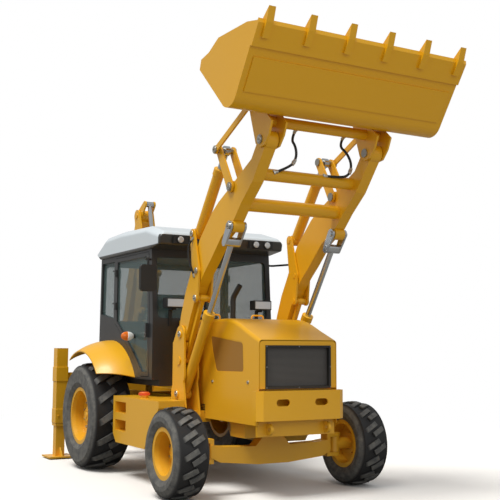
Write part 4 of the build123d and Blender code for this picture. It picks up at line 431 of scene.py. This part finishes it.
zinc = chromed("zinc plated fasteners", "#B9B6AC", 0.35)
for body, (x, y, z, circle, end) in WHEELS.items():
    out = (0, math.copysign(1, y), 0)
    work = bmesh.new()
    for k in range(NUTS):
        turn = math.radians(36 * k + 18)
        place = (x + circle * math.cos(turn), y, z + circle * math.sin(turn))
        hex_bolt(work, place, out, NUT_AF, NUT_H)
    piece(body + "_nuts", work, body, "worn_steel", zinc)
    work = bmesh.new()
    disc(work, (x, end, z), out, CAP_R, CAP_H, 40, 0.94)
    disc(work, (x, end + out[1] * CAP_H, z), out, 0.04, 0.010, 32, 0.8)
    for k in range(CAP_BOLTS):
        turn = math.radians(60 * k)
        place = (x + CAP_CIRCLE * math.cos(turn), end + out[1] * 0.015, z + CAP_CIRCLE * math.sin(turn))
        hex_bolt(work, place, out, 0.013, 0.008)
    piece(body + "_cap", work, body, "yellow_paint", yellow)

# Grille: a fine perforated sheet behind a thin galvanised frame, held by eight screws. The holes
# are drawn at 11 mm, coarser than the real 4 mm, so that they show.
SCREEN_X = 2.034
GRILLE_HALF = 0.378
GRILLE_LOW = 1.060
GRILLE_HIGH = 1.478
SCREEN_PITCH = 0.011
FRAME_WIDE = 0.020
FRAME_THICK = 0.004
FRAME_X = 2.0745
fine_sheet, tree, shader = new_material("perforated black sheet")
place = add(tree, "ShaderNodeTexCoord")
cells = add(tree, "ShaderNodeVectorMath", {1: (0.0, 1 / SCREEN_PITCH, 1 / SCREEN_PITCH)},
            {0: place.outputs["Object"]}, operation="MULTIPLY")
inside = add(tree, "ShaderNodeVectorMath", links={0: cells.outputs["Vector"]}, operation="FRACTION")
middle = add(tree, "ShaderNodeVectorMath", {1: (0.0, 0.5, 0.5)}, {0: inside.outputs["Vector"]},
             operation="SUBTRACT")
gap = add(tree, "ShaderNodeVectorMath", links={0: middle.outputs["Vector"]}, operation="LENGTH")
hole = add(tree, "ShaderNodeMapRange", {"From Min": 0.30, "From Max": 0.38},
           {"Value": gap.outputs["Value"]})
toned = add(tree, "ShaderNodeMix", {"A": linear("#161616"), "B": linear("#5A5754")},
            {"Factor": hole.outputs["Result"]}, data_type="RGBA")
tree.links.new(toned.outputs["Result"], shader.inputs["Base Color"])
shader.inputs["Roughness"].default_value = 0.5
work = bmesh.new()
bmesh.ops.create_cube(work, size=1.0)
bmesh.ops.scale(work, vec=(0.002, 2 * (GRILLE_HALF - 0.024), GRILLE_HIGH - GRILLE_LOW - 0.048),
                verts=work.verts)
bmesh.ops.translate(work, vec=(SCREEN_X, 0, (GRILLE_HIGH + GRILLE_LOW) / 2), verts=work.verts)
piece("grille_screen", work, "chassis", "black_paint", fine_sheet)

galvanised = chromed("galvanised frame strip", "#8E9090", 0.45)
work = bmesh.new()
bmesh.ops.create_grid(work, x_segments=1, y_segments=1, size=0.5)
bmesh.ops.rotate(work, cent=(0, 0, 0), matrix=Matrix.Rotation(math.radians(90), 3, "Y"),
                 verts=work.verts)
bmesh.ops.scale(work, vec=(1, 2 * GRILLE_HALF, GRILLE_HIGH - GRILLE_LOW), verts=work.verts)
rim = bmesh.ops.inset_region(work, faces=work.faces[:], thickness=FRAME_WIDE)
inner = [face for face in work.faces if face not in rim["faces"]]
bmesh.ops.delete(work, geom=inner, context="FACES")
bmesh.ops.extrude_face_region(work, geom=work.faces[:])
bmesh.ops.translate(work, vec=(FRAME_THICK, 0, 0), verts=work.verts[8:])
bmesh.ops.translate(work, vec=(FRAME_X, 0, (GRILLE_HIGH + GRILLE_LOW) / 2), verts=work.verts)
for y in (-0.368, 0.0, 0.368):
    for z in (1.070, 1.269, 1.468):
        if y or z != 1.269:
            hex_bolt(work, (FRAME_X + FRAME_THICK, y, z), (1, 0, 0), 0.011, 0.004)
piece("grille_frame", work, "chassis", "worn_steel", galvanised)

# Bonnet sides: each recess holds a fine steel vent sheet, yellow darkened to brown as painted shade,
# and two plated quarter-turn locks hold the bonnet
VENT_CORNERS = ((1.064, 1.572), (1.744, 1.500), (1.758, 1.220), (1.196, 1.214), (1.104, 1.428))
VENT_Y = 0.4475
VENT_THICK = 0.0012
LOCKS = ((1.855, 1.118), (1.10, 1.10))
vent_sheet = enamel("brown shaded vent sheet", "#A07022", roughness=0.5, coat=0.1, dust=0.0)
for sign in (1, -1):
    work = bmesh.new()
    work.faces.new([work.verts.new((x, sign * VENT_Y, z)) for x, z in VENT_CORNERS])
    bmesh.ops.bevel(work, geom=work.verts[:], offset=0.03, offset_type="OFFSET", segments=6,
                    profile=0.5, affect="VERTICES", material=-1)
    skin = bmesh.ops.extrude_face_region(work, geom=work.faces[:])
    moved = [v for v in skin["geom"] if isinstance(v, bmesh.types.BMVert)]
    bmesh.ops.translate(work, vec=(0, sign * VENT_THICK, 0), verts=moved)
    name = "vent_sheet_right" if sign < 0 else "vent_sheet_left"
    piece(name, work, "bonnet", "yellow_paint", vent_sheet)
    work = bmesh.new()
    for x, z in LOCKS:
        disc(work, (x, sign * 0.450, z), (0, sign, 0), 0.019, 0.005, 28, 0.9)
        disc(work, (x, sign * 0.455, z), (0, sign, 0), 0.010, 0.007, 20, 0.8)
    name = "bonnet_lock_right" if sign < 0 else "bonnet_lock_left"
    piece(name, work, "bonnet", "worn_steel", zinc)

# Cowl vent: a small louvre of six slats in moulded black plastic, let into the right skirt of
# the cowl
LOUVRE_PLACE = (0.885, -0.4505, 0.770)
SLATS = 6
SLAT_PITCH = 0.016
SLAT_SIZE = (0.10, 0.004, 0.010)
work = bmesh.new()
for row in range(SLATS):
    place = Vector(LOUVRE_PLACE) + Vector((0, 0, row * SLAT_PITCH))
    bmesh.ops.create_cube(work, size=1.0, matrix=Matrix.Translation(place)
                          @ Matrix.Rotation(math.radians(25), 4, "X") @ Matrix.Diagonal((*SLAT_SIZE, 1)))
piece("cowl_louvre", work, "chassis", "black_paint", black_plastic)

# Lamps: each a chrome bowl behind a clear polycarbonate lens in a black bezel, two round ones at
# each side of the roof's front and one oblong headlamp at each side of the windscreen's foot
ROOF_LAMPS = (0.410, 0.560)
ROOF_LAMP_X = 0.514
ROOF_LAMP_Z = 2.645
HEADLAMP = (0.4175, 0.560, 1.945)
HEADLAMP_SIZE = (0.005, 0.206, 0.086)
lens_glass = moulded("clear polycarbonate over a chrome bowl", "#C9CED2", 0.12)
shader = lens_glass.node_tree.nodes["Principled BSDF"]
shader.inputs["Coat Weight"].default_value = 1.0
shader.inputs["Metallic"].default_value = 0.35
for sign in (1, -1):
    work = bmesh.new()
    for y in ROOF_LAMPS:
        disc(work, (ROOF_LAMP_X, sign * y, ROOF_LAMP_Z), (1, 0, 0), 0.036, 0.003, 36)
        disc(work, (ROOF_LAMP_X + 0.003, sign * y, ROOF_LAMP_Z), (1, 0, 0), 0.034, 0.004, 36, 0.7)
    name = "roof_lenses_right" if sign < 0 else "roof_lenses_left"
    piece(name, work, "chassis", "lamp_lens", lens_glass)
    work = bmesh.new()
    place = (HEADLAMP[0], sign * HEADLAMP[1], HEADLAMP[2])
    bmesh.ops.create_cube(work, size=1.0,
                          matrix=Matrix.Translation(place) @ Matrix.Diagonal((*HEADLAMP_SIZE, 1)))
    bmesh.ops.bevel(work, geom=work.edges[:], offset=0.012, offset_type="OFFSET", segments=3,
                    profile=0.5, affect="EDGES", material=-1, clamp_overlap=True)
    name = "headlamp_lens_right" if sign < 0 else "headlamp_lens_left"
    piece(name, work, "chassis", "lamp_lens", lens_glass)

# Side lamps: an oval of moulded acrylic on a short black stem on each door, its outer half amber
# and its inner half clear
SIDE_LAMP_SIZE = (0.026, 0.080, 0.052)
amber = moulded("amber acrylic lens", "#F07A22", 0.15)
clear = moulded("clear acrylic lens", "#F1F1EE", 0.15)
for sign, body in ((-1, "door_right"), (1, "door_left")):
    work = bmesh.new()
    bmesh.ops.create_uvsphere(work, u_segments=40, v_segments=20, radius=1.0)
    bmesh.ops.scale(work, vec=SIDE_LAMP_SIZE, verts=work.verts)
    bmesh.ops.bisect_plane(work, geom=work.verts[:] + work.edges[:] + work.faces[:],
                           plane_co=(0, 0, 0), plane_no=(0, 1, 0))
    for face in work.faces:
        face.material_index = 0 if face.calc_center_median().y * sign > 0 else 1
    bmesh.ops.translate(work, vec=(-0.280, sign * 0.855, 1.578), verts=work.verts)
    name = "side_lamp_right" if sign < 0 else "side_lamp_left"
    piece(name, work, body, "lamp_lens", amber, clear, smooth=True)
    work = bmesh.new()
    disc(work, (-0.300, sign * 0.757, 1.578), (0, sign, 0), 0.026, 0.010, 28)
    disc(work, (-0.300, sign * 0.765, 1.578), (0, sign, 0), 0.012, 0.060, 20)
    name = "side_lamp_stem_right" if sign < 0 else "side_lamp_stem_left"
    piece(name, work, body, "trim_plastic", black_plastic)

# Pin retainers: a round plated steel cap over each pin's end, held by one locking bolt, on both
# sides of the machine
RETAINER_R = 0.034
RETAINER_H = 0.006
PINS = {
    # body: (x, z, y of the pin's end) for each pin of the loader's linkage
    "chassis": ((0.800, 1.593, 0.700), (0.740, 0.960, 0.700)),
    "levers": ((1.155, 1.963, 0.6965), (1.065, 2.645, 0.6965)),
    "arms": ((1.175, 2.245, 0.694),),
    "guide_pins": ((1.890, 3.020, 0.700),),
    "push_pins": ((1.650, 3.430, 0.736),),
    "lift_rods": ((1.880, 2.635, 0.700),),
    "front_pins": ((2.484, 3.375, 0.700),),
}
for body, places in PINS.items():
    work = bmesh.new()
    for x, z, y in places:
        for sign in (1, -1):
            disc(work, (x, sign * y, z), (0, sign, 0), RETAINER_R, RETAINER_H, 32, 0.92)
            hex_bolt(work, (x, sign * (y + RETAINER_H), z), (0, sign, 0), 0.017, 0.010)
    piece(body + "_pin_caps", work, body, "worn_steel", zinc)

# Stabiliser sleeves: two folded steel collars welded round each sleeve, in the machine's yellow,
# with two bolts through the lower one
SLEEVE_X = -2.150
SLEEVE_Y = 1.040
COLLARS = ((0.995, 1.185, 0.164), (0.455, 0.640, 0.160))  # foot, top and width of each
for sign in (1, -1):
    work = bmesh.new()
    for low, high, wide in COLLARS:
        place = (SLEEVE_X, sign * SLEEVE_Y, (low + high) / 2)
        bmesh.ops.create_cube(work, size=1.0, matrix=Matrix.Translation(place)
                              @ Matrix.Diagonal((wide, wide, high - low, 1)))
    bmesh.ops.bevel(work, geom=work.edges[:], offset=0.006, offset_type="OFFSET", segments=2,
                    profile=0.5, affect="EDGES", material=-1, clamp_overlap=True)
    for y in (-0.04, 0.04):
        hex_bolt(work, (SLEEVE_X + 0.080, sign * SLEEVE_Y + y, 0.55), (1, 0, 0), 0.02, 0.012)
    name = "sleeve_collars_right" if sign < 0 else "sleeve_collars_left"
    piece(name, work, "chassis", "yellow_paint", yellow)

# Fuel cap: a cap of orange moulded plastic screwed on the right tank's neck, with a knurled rim
# for the hand
FILLER_X = 0.330
FILLER_Y = -0.890
FILLER_Z = 0.930
FUEL_CAP_R = 0.060
KNURLS = 24
orange = moulded("orange moulded cap", "#E2562B", 0.4)
work = bmesh.new()
disc(work, (FILLER_X, FILLER_Y, FILLER_Z), (0, 0, 1), FUEL_CAP_R, 0.026, 48)
disc(work, (FILLER_X, FILLER_Y, FILLER_Z + 0.026), (0, 0, 1), FUEL_CAP_R - 0.004, 0.010, 48, 0.9)
for k in range(KNURLS):
    turn = math.radians(15 * k)
    place = (FILLER_X + FUEL_CAP_R * math.cos(turn), FILLER_Y + FUEL_CAP_R * math.sin(turn), FILLER_Z + 0.002)
    disc(work, place, (0, 0, 1), 0.004, 0.022, 8)
piece("fuel_cap", work, "chassis", "trim_plastic", orange)

# Wiper: a black arm and rubber blade, parked upright on the windscreen, on the spindle of its
# motor
work = bmesh.new()
SCREEN_LEAN = math.atan2(0.060, 0.780)
WIPER_Y = -0.10
for x, z, size in ((0.243, 2.06, (0.012, 0.016, 0.50)), (0.238, 2.12, (0.008, 0.026, 0.52))):
    place = (x - (z - 1.78) * 0.077, WIPER_Y, z)
    bmesh.ops.create_cube(work, size=1.0, matrix=Matrix.Translation(place)
                          @ Matrix.Rotation(-SCREEN_LEAN, 4, "Y") @ Matrix.Diagonal((*size, 1)))
disc(work, (0.245, WIPER_Y, 1.800), (1, 0, 0), 0.022, 0.02, 24, 0.8)
piece("wiper", work, "chassis", "trim_plastic", black_plastic)

# Hydraulic hoses: wire-braided rubber hose with plated ferrules. A loop at the bucket is two lengths
# on one line, joined by a hexagon union at the arm's tip.
hose_rubber = moulded("smooth black hose rubber", "#151515", 0.38)
HOSE_POINTS = 24
HOSES = {
    # name: body at its start, body at its end, what is on its end, diameter, points of its route
    "coupler_hose_right_low": ("arms", "front_pins", "fitting", 0.026,
                               ((2.255, -0.404, 3.125), (2.300, -0.238, 3.189), (2.300, -0.204, 3.2395))),
    "coupler_hose_right_top": ("front_pins", "loader_bucket", "object", 0.026,
                               ((2.300, -0.204, 3.2395), (2.300, -0.170, 3.290), (2.300, -0.181, 3.400),
                                (2.330, -0.255, 3.455), (2.444, -0.270, 3.528))),
    "coupler_hose_left_low": ("arms", "front_pins", "fitting", 0.026,
                              ((2.238, 0.179, 3.155), (2.270, 0.310, 3.150), (2.300, 0.440, 3.160),
                               (2.300, 0.465, 3.220))),
    "coupler_hose_left_top": ("front_pins", "loader_bucket", "object", 0.026,
                              ((2.300, 0.465, 3.220), (2.300, 0.490, 3.280), (2.300, 0.430, 3.400),
                               (2.320, 0.310, 3.460), (2.444, 0.290, 3.528))),
    "lever_hose": ("levers", "levers", "object", 0.022,
                   ((1.100, -0.684, 2.600), (1.062, -0.724, 2.540), (1.056, -0.726, 2.440),
                    (1.085, -0.724, 2.320), (1.130, -0.684, 2.180))),
}


def ferrule(name, at, after, diameter, body):
    """A crimped sleeve with its hexagon, where a hose goes into something."""
    work = bmesh.new()
    away = Vector(after) - Vector(at)
    disc(work, at, away, diameter * 0.68, diameter * 1.8, 20, 0.96)
    disc(work, at, away, diameter * 0.85, diameter * 0.6, 6)
    return piece(name, work, body, "worn_steel", zinc)


def union(name, at, before, diameter, body):
    """The hexagon that joins two lengths of hose, with a sleeve on each side."""
    work = bmesh.new()
    along = (Vector(at) - Vector(before)).normalized()
    disc(work, Vector(at) - along * diameter * 1.2, along, diameter * 0.68, diameter * 2.4, 20)
    disc(work, Vector(at) - along * diameter * 0.35, along, diameter * 0.85, diameter * 0.7, 6)
    return piece(name, work, body, "worn_steel", zinc)


for name, (body, far_body, far_end, diameter, route) in HOSES.items():
    line = bpy.data.curves.new(name + "_line", "CURVE")
    line.dimensions = "3D"
    spline = line.splines.new("NURBS")
    spline.points.add(len(route) - 1)
    for point, at in zip(spline.points, route):
        point.co = (*at, 1.0)
    spline.order_u = 3
    spline.use_endpoint_u = True
    spline.resolution_u = HOSE_POINTS
    drawn = bpy.data.objects.new(name + "_line", line)
    path = [v.co.copy() for v in bpy.data.meshes.new_from_object(drawn).vertices]
    line.bevel_depth = diameter / 2
    line.bevel_resolution = 4
    line.use_fill_caps = True
    hose = bpy.data.objects.new(name, bpy.data.meshes.new_from_object(drawn))
    bpy.data.objects.remove(drawn)
    hose.data.materials.append(hose_rubber)
    bpy.context.scene.collection.objects.link(hose)
    if body == far_body:
        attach(hose, body)
    else:
        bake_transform(hose)
    if not name.endswith("_top"):
        ferrule(name + "_ferrule_start", route[0], route[1], diameter, body)
    if far_end == "object":
        ferrule(name + "_ferrule_end", route[-1], route[-2], diameter, far_body)
    else:
        union(name + "_union", route[-1], route[-2], diameter, far_body)
